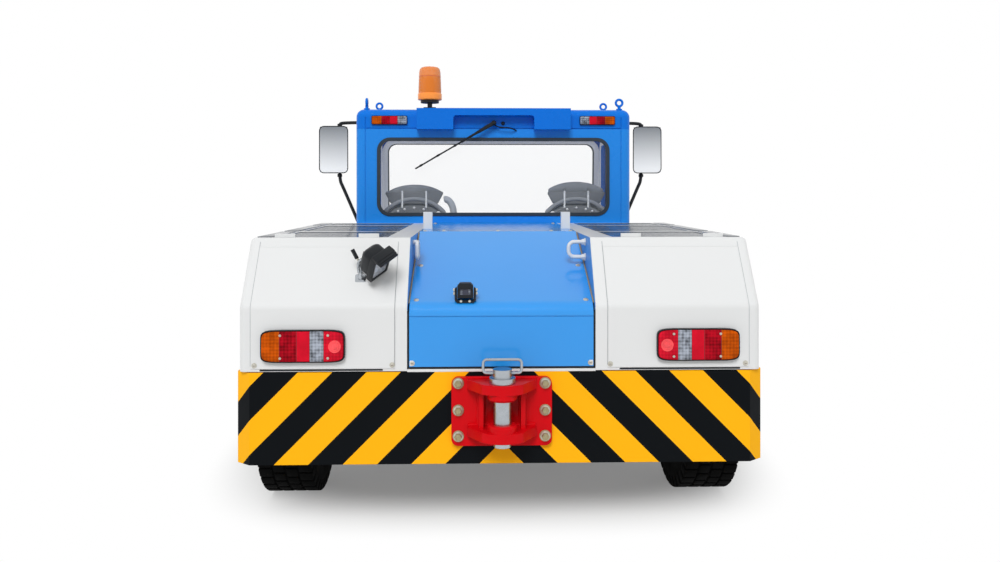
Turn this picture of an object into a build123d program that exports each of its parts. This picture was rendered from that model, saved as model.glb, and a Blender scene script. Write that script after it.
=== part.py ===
from build123d import *
import math
import os

# Aircraft tow tractor, in millimetres. +Y is ahead, +X is the right-hand side, +Z is up.
# The origin is on the ground under the middle of the body.

# Lengths along the tractor
REAR_OVERHANG = 695
WHEELBASE = 2975
FRONT_OVERHANG = 730
CAB_TO_AXLE = 615
CAB_LENGTH = 1185
BODY_LENGTH = REAR_OVERHANG + WHEELBASE + FRONT_OVERHANG
REAR = -BODY_LENGTH / 2
FRONT = BODY_LENGTH / 2
REAR_AXLE_Y = REAR + REAR_OVERHANG
FRONT_AXLE_Y = FRONT - FRONT_OVERHANG
CAB_FRONT = FRONT_AXLE_Y - CAB_TO_AXLE
CAB_REAR = CAB_FRONT - CAB_LENGTH

# Widths from the middle
POD_OUT = 1150
POD_IN = 415
CAB_HALF = 912
TRACK_HALF = POD_OUT - 130
HOOD_HALF = POD_IN - 9

# Clearance of a seat, and reach of a cut past what it cuts
SEAT_GAP = 0.3
HIDDEN = 60

# Wheels and axles
TYRE_RADIUS = 450
TYRE_WIDTH = 260
BEAD_RADIUS = 290
BEAD_INSET = 28
SIDEWALL_LOW = 48
SIDEWALL_HIGH = 45
SHOULDER_IN = 16
SHOULDER_DROP = 12
TREAD_INSET = 48
RIM_WALL = 16
RIM_INSET = 26
RIM_DISH = 30
RIM_FLAT = 40
HAND_HOLE = 28
HAND_HOLES = 8
CAP_FOOT = 72
CAP_RADIUS = 62
CAP_WALL = 44
CAP_DEPTH = 52
AXLE_RADIUS = 78
DIFF_RADIUS = 158
DIFF_HALF = 190
HUB_RADIUS = 120
HUB_DEPTH = 80
HUB_FLANGE = 20
SPRING_PAD = 60
PAD_INSET = 5
HUB_FACE_IN = 20
KINGPIN_X = TRACK_HALF - 140
KINGPIN_RADIUS = 32
KNUCKLE_ARM = 46
KNUCKLE_WALL = 34
KNUCKLE_HALF = 46
KNUCKLE_BACK = 42
KINGPIN_END = 10
BEAM_HALF = 50
BEAM_LAP = 20
AXLE_EYE_HALF = 60
EYE_CLEARANCE = 6

# Frame rails, dropped between the axles
RAIL_OUT = POD_IN - 15
RAIL_IN = RAIL_OUT - 70
RAIL_DEPTH = 170
RAIL_LOW = 330
RAIL_HIGH = TYRE_RADIUS + 170
KICK_START = 330
KICK_RUN = 250
CROSS_LENGTH = 120
CROSS_HEIGHT = 40
DROP_CROSS_LENGTH = 140
DROP_CROSS_HEIGHT = 110
DROP_CROSS_SET = 200
BATTERY_CLEAR = 20

# Striped bumpers
BUMPER_Z0 = 332
BUMPER_HEIGHT = 404
BUMPER_Z1 = BUMPER_Z0 + BUMPER_HEIGHT
BUMPER_HALF = POD_OUT + 15
BUMPER_CHAMFER_RUN = 63
BUMPER_FLAT = BUMPER_HALF - BUMPER_CHAMFER_RUN
BUMPER_CHAMFER = 48
BUMPER_DEPTH = 75

# Tow hitches
PLATE_HALF = 220
PLATE_Z0 = BUMPER_Z0 + 85
PLATE_HEIGHT = 300
PLATE_THICK = 24
PLATE_CORNER = 30
EAR_BASE = 150
EAR_NECK = 22
EAR_NOSE = 88
PIN_OUT = 116
EAR_NOSE_Y = PIN_OUT + 30
EAR_TIP = PIN_OUT + 64
EAR_THICK = 42
EAR_GAP = 162
EAR_LOW = PLATE_Z0 + 49
EAR_HIGH = EAR_LOW + EAR_THICK + EAR_GAP
PIN_RADIUS = 37.5
PIN_CLEARANCE = 0.7
BORE_RADIUS = PIN_RADIUS + PIN_CLEARANCE
BOSS_RADIUS = 64
BOSS_HEIGHT = 30
BOSS_CHAMFER = 8
GUSSET_X = 90
GUSSET_THICK = 20
GUSSET_REACH = 70
PIN_BELOW = 24
PIN_FLANGE_RADIUS = 56
PIN_FLANGE = 24
PIN_HEAD_RADIUS = 41
PIN_HEAD = 36
HANDLE_WIDTH = 176
HANDLE_HEIGHT = 70
HANDLE_ROD = 6
HANDLE_CORNER = 16
HANDLE_SINK = 8

# Side pods over the rear wheels
POD_FLOOR = BUMPER_Z1 + 4
POD_CREASE = POD_FLOOR + 285
POD_TOP = POD_CREASE + 291
POD_SLOPE_RUN = 188
POD_SKIRT = 430
POD_BELLY = RAIL_HIGH + 20
POD_ROUND = 30
CREASE_ROUND = 45
REAR_ARCH = TYRE_RADIUS + 70
WELL_CLEARANCE = 40
REAR_WELL_IN = TRACK_HALF - TYRE_WIDTH / 2 - WELL_CLEARANCE
PANEL_IN = POD_IN + 55
PANEL_OUT = POD_OUT - 53
PANEL_THICK = 3
PANEL_Z0 = POD_FLOOR + 12
PANEL_SLOPE_END = POD_SLOPE_RUN - 28

# Slatted decks let into the pods' tops, in bays between cross ribs
DECK_IN = POD_IN + 108
DECK_OUT = POD_OUT - 96
DECK_DEPTH = 24
DECK_RIM = 22
DECK_GAP = 3
DECK_START = POD_SLOPE_RUN + 34
DECK_END = 32
DECK_FIRST_BAY = 500
DECK_BAY = 708
DECK_RIB = 47
SLAT_PITCH = 48
SLAT_WIDTH = 30
SLAT_RISE = 8
SLAT_DROP = 2

# Pods over the front wheels
NOSE_POD_REAR = CAB_FRONT + 5
NOSE_POD_CREASE = POD_FLOOR + 220
NOSE_POD_TOP = NOSE_POD_CREASE + 150
NOSE_POD_SLOPE = 180
FRONT_ARCH = TYRE_RADIUS + 110
FRONT_WELL_IN = KINGPIN_X - 250

# Hoods between the pods
HOOD_WALL = 25
HOOD_Z0 = BUMPER_Z1 + 22
HOOD_CREASE = HOOD_Z0 + 222
HOOD_LIP = 45
HOOD_ROUND = 60
HOOD_TOP = POD_TOP + 4
HOOD_SLOPE_RUN = POD_SLOPE_RUN + 492
HOOD_END_GAP = 6
HOOD_SEAM = 3
SILL_HEIGHT = 12
BULKHEAD = 35
BULKHEAD_LAP = 5
NOSE_BULKHEAD_DROP = 30
NOSE_HOOD_CREASE = HOOD_Z0 + 172
NOSE_HOOD_SLOPE = 420
NOSE_HOOD_TOP = NOSE_POD_TOP + 20
GRILLE_SLOTS = 5
GRILLE_PITCH = 24
GRILLE_SLOT = 12
GRILLE_EDGE = 90

# Cab
CAB_FLOOR = RAIL_LOW + RAIL_DEPTH
CAB_FLOOR_THICK = 40
FLOOR_TOP = CAB_FLOOR + CAB_FLOOR_THICK
ROOF_REAR = POD_TOP + 752
ROOF_FRONT = ROOF_REAR + 67
ROOF_FRONT_Y = CAB_FRONT - 120
CAB_WALL = 55
CAB_SIDE = 60
CAB_ROUND = 52
ROOF_SEAM = ROOF_REAR - 129
REAR_SEAM = CAB_REAR + 130
FRONT_SEAM = CAB_FRONT - 165
DOOR_GAP = 6
POST_GROOVE_IN = 66
GROOVE_WIDTH = 6
GROOVE_DEPTH = 4

# Inside the cab
SEATS = ((-537, 0), (568, 20))  # across, rise of the headrest
SEAT_WIDTH = 460
SEAT_TOP = FLOOR_TOP + 410
SEAT_PAD = 110
SEAT_LENGTH = 470
SEAT_BACK_Y = CAB_REAR + 170
SEAT_BACK_THICK = 110
SEAT_BACK_TOP = SEAT_TOP + 520
SEAT_BACK_WIDTH = 434
SEAT_ARCH = 95
SEAT_SHELL = 20
SEAT_SHELL_DROP = 40
SEAT_SHELL_INSET = 34
SEAT_BOX_INSET = 100
SEAT_CLEAR = 4
SEAT_ROUND = 22
HEADREST_GAP = 8
HEADREST_HEIGHT = 102
HEADREST_ARCH = 63
HEADREST_WIDTH = 410
HEADREST_FOOT = 362
HEADREST_DEPTH = 90
HEADREST_POST = 7
HEADREST_POST_X = 81
HEADREST_POST_RISE = 52
STEER_RADIUS = 215
STEER_ROD = 15
STEER_Z = SEAT_TOP + 200
STEER_Y = CAB_FRONT - 385
STEER_TILT = 55
STEER_HUB = 46
STEER_HUB_DEPTH = 40
STEER_SPOKE = 30
STEER_SPOKE_THICK = 14
COLUMN_RADIUS = 26
COLUMN_LENGTH = 400
DASH_Z0 = SEAT_TOP - 70
DASH_Z1 = SEAT_TOP + 200
DASH_DEPTH = 220
DASH_CLEAR = 20
DASH_LIP = 40
DASH_FOOT = 132

# Rear window and other glazing
WINDOW_HALF = CAB_HALF - 142
WINDOW_Z0 = POD_TOP + 47
WINDOW_Z1 = ROOF_REAR - 187
WINDOW_CORNER = 85
SEAL_WIDTH = 22
SEAL_PROUD = 5
SEAL_DEPTH = 20
GLASS_INSET = 4
GLASS_THICK = 6
SCREEN_HALF = CAB_HALF - 85
SCREEN_Z0 = DASH_Z1 + 50
SCREEN_Z1 = ROOF_SEAM - 25
DOOR_GLASS_Z0 = DASH_Z1 + 30
DOOR_GLASS_TOP = 55
DOOR_GLASS_EDGE = 60
DOOR_GLASS_CORNER = 60

# Door hinges and pull handles
HINGE_OUT = 12
HINGE_RADIUS = 11
HINGE_LEAF = 30
HINGE_HALF = 24
HINGE_PLACES = (220, 760, 1240)  # above the cab floor
PULL_Z = FLOOR_TOP + 540
PULL_INSET = 90
PULL_LENGTH = 170
PULL_STAND = 46
PULL_ROD = 8
PULL_CORNER = 20

# Fittings on the cab
ROOF_LAMP_X = CAB_HALF - 224
ROOF_LAMP_WIDTH = 236
HEADER_HALF = ROOF_LAMP_X - ROOF_LAMP_WIDTH / 2 - 65
HEADER_HEIGHT = 139
HEADER_Z1 = ROOF_REAR + 3
HEADER_Z0 = HEADER_Z1 - HEADER_HEIGHT
HEADER_DEPTH = 70
NOTCH_HALF = 265
NOTCH_HEIGHT = 92
NOTCH_CORNER = 20
WIPER_PIVOT_Z = HEADER_Z0 + 42
WIPER_PIVOT_RADIUS = 14
WIPER_REACH = 600
WIPER_DROP = 30.3
WIPER_ARM = 12
WIPER_STAND = 52
WIPER_BLADE = 10
WIPER_BLADE_LENGTH = 348
WIPER_CLEAR = 6
WIPER_CAP = 8
ROOF_LAMP_HEIGHT = 59
ROOF_LAMP_Z0 = ROOF_REAR - 102
ROOF_LAMP_DEPTH = 18
BEACON_X = -420
BEACON_RADIUS = 79
BEACON_CROWN = 68
BEACON_HEIGHT = 219
BEACON_STAND = 53
BEACON_FOOT = 18
BEACON_BASE = 46
BEACON_POLE = 16
BEACON_LIP = 8
BEACON_STEP = 5
BEACON_SHOULDER = 25
BEACON_PLATE = 80
BEACON_PLATE_INSET = 10
BEACON_PLATE_THICK = 6
EYE_X = CAB_HALF - 66
EYE_RING = 30
EYE_ROD = 8
EYE_STEM = 26
EYE_STEM_RADIUS = 11
EYE_SINK = 2
EYE_COLLAR_RADIUS = 20
EYE_COLLAR = 8
EYES = ((-1, 70, 0), (1, 70, 90), (-1, 790, 90), (1, 790, 90))  # side, ahead of the rear wall, turn
MIRROR_IN = CAB_HALF + 210
MIRROR_WIDTH = 231
MIRROR_HEIGHT = 375
MIRROR_Z1 = ROOF_REAR - 28
MIRROR_DEPTH = 90
MIRROR_ROUND = 38
MIRROR_Y = FRONT_SEAM + 90
MIRROR_FOOT_Y = FRONT_SEAM + 28
MIRROR_FOOT_Z = FLOOR_TOP + 570
MIRROR_ARM = 13
MIRROR_ARM_IN = 74
MIRROR_ARM_Z = ROOF_REAR - 4
MIRROR_NECK = 70
MIRROR_KNEE = 82
MIRROR_FOOT = 42
MIRROR_SINK = 20

# Fittings on the body
TAIL_LAMP_X = POD_OUT - 283
TAIL_LAMP_WIDTH = 366
TAIL_LAMP_HEIGHT = 142
TAIL_LAMP_Z0 = POD_FLOOR + 43
TAIL_LAMP_DEPTH = 26
TAIL_LAMP_ROUND = 18
HEADLAMP_X = POD_OUT - 250
HEADLAMP_PITCH = 190
HEADLAMP_Z = POD_FLOOR + 110
HEADLAMP_RADIUS = 78
HEADLAMP_DEPTH = 34
POST_X = HOOD_HALF - 26
POST_WIDTH = 50
POST_DEPTH = 30
POST_HEIGHT = 94
POST_AHEAD = HOOD_SLOPE_RUN + 260
RING_ROD = 9.5
RING_RADIUS = 36
RING_LEG = 48
RING_AHEAD = POD_SLOPE_RUN + 142
RING_Z = POD_TOP - 66
RING_BOSS = 22
RING_HANG_Z = POD_TOP - 32
TAB_WIDTH = 94
TAB_THICK = 6
TAB_HEIGHT = 18
TAB_AHEAD = POD_SLOPE_RUN + 12
TAB_INSETS = (193, 578)  # from the pod's inner face
WORK_LAMP_X = POD_IN + 213
WORK_LAMP_AHEAD = 74
WORK_LAMP_WIDTH = 110
WORK_LAMP_HEIGHT = 144
WORK_LAMP_DEPTH = 70
WORK_LAMP_SWING = 48
WORK_LAMP_BACK = 52
WORK_LAMP_RISE = 100
WORK_LAMP_TURN = 67
WORK_LAMP_DIP = 35
WORK_LAMP_ROLL = -32
WORK_LAMP_ROD = 10
WORK_LAMP_ROD_LAP = 12
WORK_LAMP_VISOR = 34
WORK_LAMP_VISOR_THICK = 8
WORK_LAMP_ROUND = 16
CAMERA_X = -160
CAMERA_AHEAD = 34
CAMERA_WIDTH = 70
CAMERA_LENGTH = 70
CAMERA_HEIGHT = 66
CAMERA_RISE = 18
CAMERA_CHAMFER = 12
CAMERA_BRACKET = 12
CAMERA_STRAP = 40
CAMERA_STRAP_GAP = 10
STEP_OUT = CAB_HALF + 178
STEP_IN = CAB_HALF - 150
STEP_DROP = 100
STEP_THICK = 34
STEP_HANGER = 40
STEP_HANGER_IN = 120


def box(x0, x1, y0, y1, z0, z1):
    """A block between two corners."""
    middle = Pos((x0 + x1) / 2, (y0 + y1) / 2, (z0 + z1) / 2)
    return middle * Box(x1 - x0, y1 - y0, z1 - z0)


def side_slab(points, x0, x1):
    """A side outline of (y, z) points, carried across from x0 to x1."""
    face = Plane.YZ * Polygon(*points, align=None)
    return Pos(x0, 0, 0) * extrude(face, x1 - x0, dir=(1, 0, 0))


def cross_rod(radius, x0, x1, y, z):
    """A round bar along X."""
    return Pos((x0 + x1) / 2, y, z) * Rot(0, 90, 0) * Cylinder(radius, x1 - x0)


def upright(radius, x, y, z0, z1):
    """A round bar along Z."""
    return Pos(x, y, (z0 + z1) / 2) * Cylinder(radius, z1 - z0)


def rod_path(points, radius, corner):
    """A round rod bent along points with rounded corners."""
    path = FilletPolyline(*points, radius=corner)
    start = Plane(origin=path @ 0, z_dir=path % 0)
    return sweep(start * Circle(radius), path=path)


def mirrored(shape):
    """The same piece on the other side of the tractor."""
    return mirror(shape, about=Plane.YZ)


def pair(shape):
    """A piece and its mirror image."""
    return [shape, mirrored(shape)]


def turned_ahead(shape):
    """A piece at the rear, turned round to the front."""
    return Rot(0, 0, 180) * shape


def frame_nodes():
    """Rails, cross members, bumpers, sill, bulkhead and the heavy battery block."""
    rear_end = REAR + BUMPER_DEPTH
    front_end = FRONT - BUMPER_DEPTH
    rear_kick = REAR_AXLE_Y + KICK_START
    front_kick = FRONT_AXLE_Y - KICK_START
    under = [
        (rear_end, RAIL_HIGH),
        (rear_kick, RAIL_HIGH),
        (rear_kick + KICK_RUN, RAIL_LOW),
        (front_kick - KICK_RUN, RAIL_LOW),
        (front_kick, RAIL_HIGH),
        (front_end, RAIL_HIGH),
    ]
    over = [(y, z + RAIL_DEPTH) for y, z in reversed(under)]
    rail = side_slab(under + over, RAIL_IN, RAIL_OUT)

    cross_high = RAIL_HIGH + CROSS_HEIGHT
    frame = rail + mirrored(rail)
    # Cross members: middle along Y, underside, length along Y, height
    half = CROSS_LENGTH / 2
    set_in = KICK_RUN + DROP_CROSS_SET
    for y, z, run, height in (
        (rear_end + half, RAIL_HIGH, CROSS_LENGTH, CROSS_HEIGHT),
        (rear_kick - half, RAIL_HIGH, CROSS_LENGTH, CROSS_HEIGHT),
        (rear_kick + set_in, RAIL_LOW, DROP_CROSS_LENGTH, DROP_CROSS_HEIGHT),
        (front_kick - set_in, RAIL_LOW, DROP_CROSS_LENGTH, DROP_CROSS_HEIGHT),
        (front_kick + half, RAIL_HIGH, CROSS_LENGTH, CROSS_HEIGHT),
        (front_end - half, RAIL_HIGH, CROSS_LENGTH, CROSS_HEIGHT),
    ):
        frame += box(-RAIL_IN, RAIL_IN, y - run / 2, y + run / 2, z, z + height)

    outline = [
        (-BUMPER_FLAT, REAR),
        (BUMPER_FLAT, REAR),
        (BUMPER_HALF, REAR + BUMPER_CHAMFER),
        (BUMPER_HALF, REAR + BUMPER_DEPTH),
        (-BUMPER_HALF, REAR + BUMPER_DEPTH),
        (-BUMPER_HALF, REAR + BUMPER_CHAMFER),
    ]
    face = Pos(0, 0, BUMPER_Z0) * Polygon(*outline, align=None)
    rear_bumper = extrude(face, BUMPER_HEIGHT, dir=(0, 0, 1))

    sill = box(-POD_IN, POD_IN, REAR, REAR + BUMPER_DEPTH, BUMPER_Z1, BUMPER_Z1 + SILL_HEIGHT)
    back = REAR + HOOD_WALL
    sill_top = BUMPER_Z1 + SILL_HEIGHT
    bulkhead = box(-RAIL_OUT, RAIL_OUT, back, back + BULKHEAD, sill_top, HOOD_CREASE + BULKHEAD_LAP)

    side = RAIL_IN - BATTERY_CLEAR
    battery_y0 = rear_end + BATTERY_CLEAR
    battery = box(-side, side, battery_y0, rear_kick + KICK_RUN, cross_high, HOOD_CREASE)
    return {
        "frame": frame,
        "rear_bumper": rear_bumper,
        "front_bumper": turned_ahead(rear_bumper),
        "hood_sills": [sill + bulkhead, turned_ahead(sill) + nose_bulkhead()],
        "battery_block": battery,
    }


def nose_bulkhead():
    """The upright plate behind the front hood's face."""
    back = FRONT - HOOD_WALL
    top = NOSE_HOOD_CREASE - NOSE_BULKHEAD_DROP
    return box(-RAIL_OUT, RAIL_OUT, back - BULKHEAD, back, BUMPER_Z1 + SILL_HEIGHT, top)


def ear_outline():
    """A hitch ear seen from above: straight cheeks and a curved nose."""
    base = REAR - PLATE_THICK
    lines = Polyline(
        (-EAR_NOSE, REAR - EAR_NOSE_Y),
        (-EAR_BASE, base - EAR_NECK),
        (-EAR_BASE, base),
        (EAR_BASE, base),
        (EAR_BASE, base - EAR_NECK),
        (EAR_NOSE, REAR - EAR_NOSE_Y),
    )
    nose = ThreePointArc((EAR_NOSE, REAR - EAR_NOSE_Y), (0, REAR - EAR_TIP), (-EAR_NOSE, REAR - EAR_NOSE_Y))
    return make_face(lines.edges() + nose.edges())


def hitch():
    """The rear hitch: plate, two ears, a boss inside each ear, two gussets, one bore through all."""
    plate_face = Pos(0, REAR, PLATE_Z0 + PLATE_HEIGHT / 2) * Rot(90, 0, 0)
    plate_face *= RectangleRounded(2 * PLATE_HALF, PLATE_HEIGHT, PLATE_CORNER)
    body = extrude(plate_face, PLATE_THICK, dir=(0, -1, 0))
    pin_y = REAR - PIN_OUT
    for z in (EAR_LOW, EAR_HIGH):
        body += extrude(Pos(0, 0, z) * ear_outline(), EAR_THICK, dir=(0, 0, 1))
    boss_low = EAR_LOW + EAR_THICK
    lower_boss = upright(BOSS_RADIUS, 0, pin_y, boss_low, boss_low + BOSS_HEIGHT)
    body += chamfer(lower_boss.edges().group_by(Axis.Z)[-1], BOSS_CHAMFER)
    upper_boss = upright(BOSS_RADIUS, 0, pin_y, EAR_HIGH - BOSS_HEIGHT, EAR_HIGH)
    body += chamfer(upper_boss.edges().group_by(Axis.Z)[0], BOSS_CHAMFER)
    for x in (-GUSSET_X, GUSSET_X):
        half = GUSSET_THICK / 2
        base = REAR - PLATE_THICK
        body += box(x - half, x + half, base - GUSSET_REACH, base, boss_low, EAR_HIGH)
    body -= upright(BORE_RADIUS, 0, pin_y, EAR_LOW - HIDDEN, EAR_HIGH + EAR_THICK + HIDDEN)
    return body


def tow_pin():
    """The loose pin with its flange, head and bent-rod handle."""
    pin_y = REAR - PIN_OUT
    seat = EAR_HIGH + EAR_THICK
    pin = upright(PIN_RADIUS, 0, pin_y, EAR_LOW - PIN_BELOW, seat)
    pin += upright(PIN_FLANGE_RADIUS, 0, pin_y, seat + SEAT_GAP, seat + SEAT_GAP + PIN_FLANGE)
    top = seat + SEAT_GAP + PIN_FLANGE + PIN_HEAD
    pin += upright(PIN_RADIUS, 0, pin_y, seat, seat + PIN_FLANGE)
    pin += upright(PIN_HEAD_RADIUS, 0, pin_y, seat + PIN_FLANGE, top)
    low = top - PIN_HEAD / 2
    half = HANDLE_WIDTH / 2 - HANDLE_ROD
    high = low + HANDLE_HEIGHT - 2 * HANDLE_ROD
    corners = [
        (HANDLE_SINK - PIN_HEAD_RADIUS, pin_y, low),
        (-half, pin_y, low),
        (-half, pin_y, high),
        (half, pin_y, high),
        (half, pin_y, low),
        (PIN_HEAD_RADIUS - HANDLE_SINK, pin_y, low),
    ]
    return pin + rod_path(corners, HANDLE_ROD, HANDLE_CORNER)


def hitch_nodes():
    """Both hitches and the rear pin."""
    rear = hitch()
    return {
        "rear_hitch": rear,
        "front_hitch": turned_ahead(rear),
        "tow_pin": tow_pin(),
    }


def tyre():
    """A plain tyre about X, centred on the origin."""
    half = TYRE_WIDTH / 2
    outline = [
        (BEAD_INSET - half, BEAD_RADIUS),
        (-half, BEAD_RADIUS + SIDEWALL_LOW),
        (-half, TYRE_RADIUS - SIDEWALL_HIGH),
        (SHOULDER_IN - half, TYRE_RADIUS - SHOULDER_DROP),
        (TREAD_INSET - half, TYRE_RADIUS),
    ]
    outline += [(-x, r) for x, r in reversed(outline)]
    return revolve(Polygon(*outline, align=None), Axis.X)


def rim():
    """A dished wheel about X, with hand holes and a hub cap, its outer side towards +X."""
    outer = BEAD_RADIUS - SEAT_GAP
    half = TYRE_WIDTH / 2 - RIM_INSET
    disc = HUB_FACE_IN + RIM_WALL
    barrel = [(-half, outer - RIM_WALL), (half, outer - RIM_WALL), (half, outer), (-half, outer)]
    flange = HUB_RADIUS + HUB_FLANGE
    edge = outer - RIM_WALL / 2
    flat = outer - RIM_WALL - RIM_FLAT
    web = [
        (HUB_FACE_IN, 0),
        (HUB_FACE_IN, flange),
        (HUB_FACE_IN + RIM_DISH, flat),
        (HUB_FACE_IN + RIM_DISH, edge),
        (disc + RIM_DISH, edge),
        (disc + RIM_DISH, flat),
        (disc, flange),
        (disc, CAP_FOOT),
        (disc + CAP_WALL, CAP_RADIUS),
        (disc + CAP_DEPTH, 0),
    ]
    wheel = revolve(Polygon(*barrel, align=None), Axis.X) + revolve(Polygon(*web, align=None), Axis.X)
    hole_ring = (HUB_RADIUS + outer) / 2
    for step in range(HAND_HOLES):
        wheel -= Rot(360 / HAND_HOLES * step, 0, 0) * cross_rod(HAND_HOLE, 0, TYRE_WIDTH, hole_ring, 0)
    return wheel


def wheel_nodes():
    """Tyres and rims at the four corners."""
    nodes = {}
    for end, y in (("rear", REAR_AXLE_Y), ("front", FRONT_AXLE_Y)):
        for kind, shape in (("tyre", tyre()), ("rim", rim())):
            right = Pos(TRACK_HALF, y, TYRE_RADIUS) * shape
            nodes[f"{kind}_{end}_right"] = right
            nodes[f"{kind}_{end}_left"] = mirrored(right)
    return nodes


def axle_nodes():
    """The driven rear axle, the steered front beam and its knuckles."""
    z = TYRE_RADIUS
    hub_out = TRACK_HALF + HUB_FACE_IN - SEAT_GAP
    hub_in = hub_out - HUB_DEPTH
    outline = [
        (DIFF_HALF * 0.55, DIFF_RADIUS),
        (DIFF_HALF, AXLE_RADIUS),
        (hub_in, AXLE_RADIUS),
        (hub_in, HUB_RADIUS),
        (hub_out, HUB_RADIUS),
        (hub_out, 0),
    ]
    outline += [(-x, r) for x, r in reversed(outline)]
    rear = Pos(0, REAR_AXLE_Y, z) * revolve(Polygon(*outline, align=None), Axis.X)
    for side in (-1, 1):
        pad = sorted((side * (RAIL_IN + PAD_INSET), side * (RAIL_OUT - PAD_INSET)))
        rear += box(pad[0], pad[1], REAR_AXLE_Y - SPRING_PAD, REAR_AXLE_Y + SPRING_PAD, z, RAIL_HIGH)

    y = FRONT_AXLE_Y
    beam_end = KINGPIN_X - AXLE_EYE_HALF + BEAM_LAP
    front = box(-beam_end, beam_end, y - BEAM_HALF, y + BEAM_HALF, z - BEAM_HALF, z + BEAM_HALF)
    for side in (-1, 1):
        front += upright(AXLE_EYE_HALF, side * KINGPIN_X, y, z - AXLE_EYE_HALF, z + AXLE_EYE_HALF)
        pad = sorted((side * (RAIL_IN + PAD_INSET), side * (RAIL_OUT - PAD_INSET)))
        front += box(pad[0], pad[1], y - SPRING_PAD, y + SPRING_PAD, z, RAIL_HIGH)
    for side in (-1, 1):
        front -= upright(KINGPIN_RADIUS + SEAT_GAP, side * KINGPIN_X, y, z - HIDDEN * 2, z + HIDDEN * 2)

    gap = AXLE_EYE_HALF + EYE_CLEARANCE
    tall = gap + KNUCKLE_ARM
    knuckle = upright(KINGPIN_RADIUS, KINGPIN_X, y, z - tall - KINGPIN_END, z + tall + KINGPIN_END)
    face = KINGPIN_X + gap
    wall = face + KNUCKLE_WALL
    side = (y - KNUCKLE_HALF, y + KNUCKLE_HALF)
    for low in (z - tall, z + gap):
        knuckle += box(KINGPIN_X - KNUCKLE_BACK, wall, *side, low, low + KNUCKLE_ARM)
    knuckle += box(face, wall, y - AXLE_EYE_HALF, y + AXLE_EYE_HALF, z - tall, z + tall)
    knuckle += cross_rod(HUB_RADIUS, wall, hub_out, y, z)
    return {
        "rear_axle": rear,
        "front_axle": front,
        "knuckle_right": knuckle,
        "knuckle_left": mirrored(knuckle),
    }


def pod_outline(end_y, run, crease, top, rear_y):
    """Side outline of a pod whose sloped end is at end_y and whose plain end is at rear_y."""
    inward = 1 if rear_y > end_y else -1
    behind = end_y + inward * BUMPER_DEPTH
    return [
        (end_y, POD_FLOOR),
        (end_y, crease),
        (end_y + inward * run, top),
        (rear_y, top),
        (rear_y, POD_SKIRT),
        (behind, POD_SKIRT),
        (behind, POD_FLOOR),
    ]


def fold_edges(solid, corner):
    """Edges across the tractor at one (y, z) corner of a side outline."""
    y, z = corner
    across = solid.edges().filter_by(Axis.X)
    return [edge for edge in across if abs(edge.center().Y - y) < 1 and abs(edge.center().Z - z) < 1]


def pod(outline, well_in, arch, axle_y):
    """One right-hand pod: rounded along its outer top edges, with its wheel well cut through."""
    shell = side_slab(outline, POD_IN, POD_OUT)
    crease = outline[1][1]
    shell = fillet(fold_edges(shell, outline[1]), CREASE_ROUND)
    ridge = [
        edge for edge in shell.edges()
        if edge.center().X > POD_OUT - 1 and edge.center().Z > crease + CREASE_ROUND
        and abs(edge.tangent_at(0.5).Y) > 0.2
    ]
    shell = fillet(ridge, POD_ROUND)
    ends = [y for y, _ in outline]
    shell -= box(POD_IN - HIDDEN, well_in, min(ends) - HIDDEN, max(ends) + HIDDEN, 0, POD_BELLY)
    well = cross_rod(arch, well_in, POD_OUT + HIDDEN, axle_y, TYRE_RADIUS)
    well += box(well_in, POD_OUT + HIDDEN, axle_y - arch, axle_y + arch, 0, TYRE_RADIUS)
    return shell - well


def deck_bays():
    """Start and end of each deck bay along Y: a short first bay, then full ones up to the cab."""
    bays = []
    start = REAR + DECK_START
    length = DECK_FIRST_BAY
    last = CAB_REAR - DECK_END
    while start < last - DECK_RIM * 3:
        end = min(start + length, last)
        bays.append((start, end))
        start = end + DECK_RIB
        length = DECK_BAY
    return bays


def deck_panel(y0, y1):
    """A slatted panel between two cross ribs of the right-hand pod's deck."""
    z0 = POD_TOP - DECK_DEPTH
    x0 = DECK_IN + DECK_GAP
    x1 = DECK_OUT - DECK_GAP
    panel = box(x0, x1, y0, y1, z0, POD_TOP)
    panel -= box(x0 + DECK_RIM, x1 - DECK_RIM, y0 + DECK_RIM, y1 - DECK_RIM, z0 - HIDDEN, POD_TOP + HIDDEN)
    clear = y1 - y0 - 2 * DECK_RIM
    count = max(1, round(clear / SLAT_PITCH))
    for step in range(count):
        slat = y0 + DECK_RIM + clear * (step + 0.5) / count - SLAT_WIDTH / 2
        panel += box(x0, x1, slat, slat + SLAT_WIDTH, z0 + SLAT_RISE, POD_TOP - SLAT_DROP)
    return panel


def rear_panel():
    """The thin bolted panel on the right-hand pod's rear face, folded over its crease."""
    slope = (POD_TOP - POD_CREASE) / POD_SLOPE_RUN
    end_z = POD_CREASE + slope * PANEL_SLOPE_END
    lean = math.atan(slope)
    out_y = PANEL_THICK * math.sin(lean)
    out_z = PANEL_THICK * math.cos(lean)
    fold = PANEL_THICK * math.tan((math.pi / 2 - lean) / 2)
    outline = [
        (REAR, PANEL_Z0),
        (REAR, POD_CREASE),
        (REAR + PANEL_SLOPE_END, end_z),
        (REAR + PANEL_SLOPE_END - out_y, end_z + out_z),
        (REAR - PANEL_THICK, POD_CREASE + fold),
        (REAR - PANEL_THICK, PANEL_Z0),
    ]
    panel = side_slab(outline, PANEL_IN, PANEL_OUT)
    for corner, radius in ((outline[1], CREASE_ROUND), (outline[4], CREASE_ROUND + PANEL_THICK)):
        panel = fillet(fold_edges(panel, corner), radius)
    return panel


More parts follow.
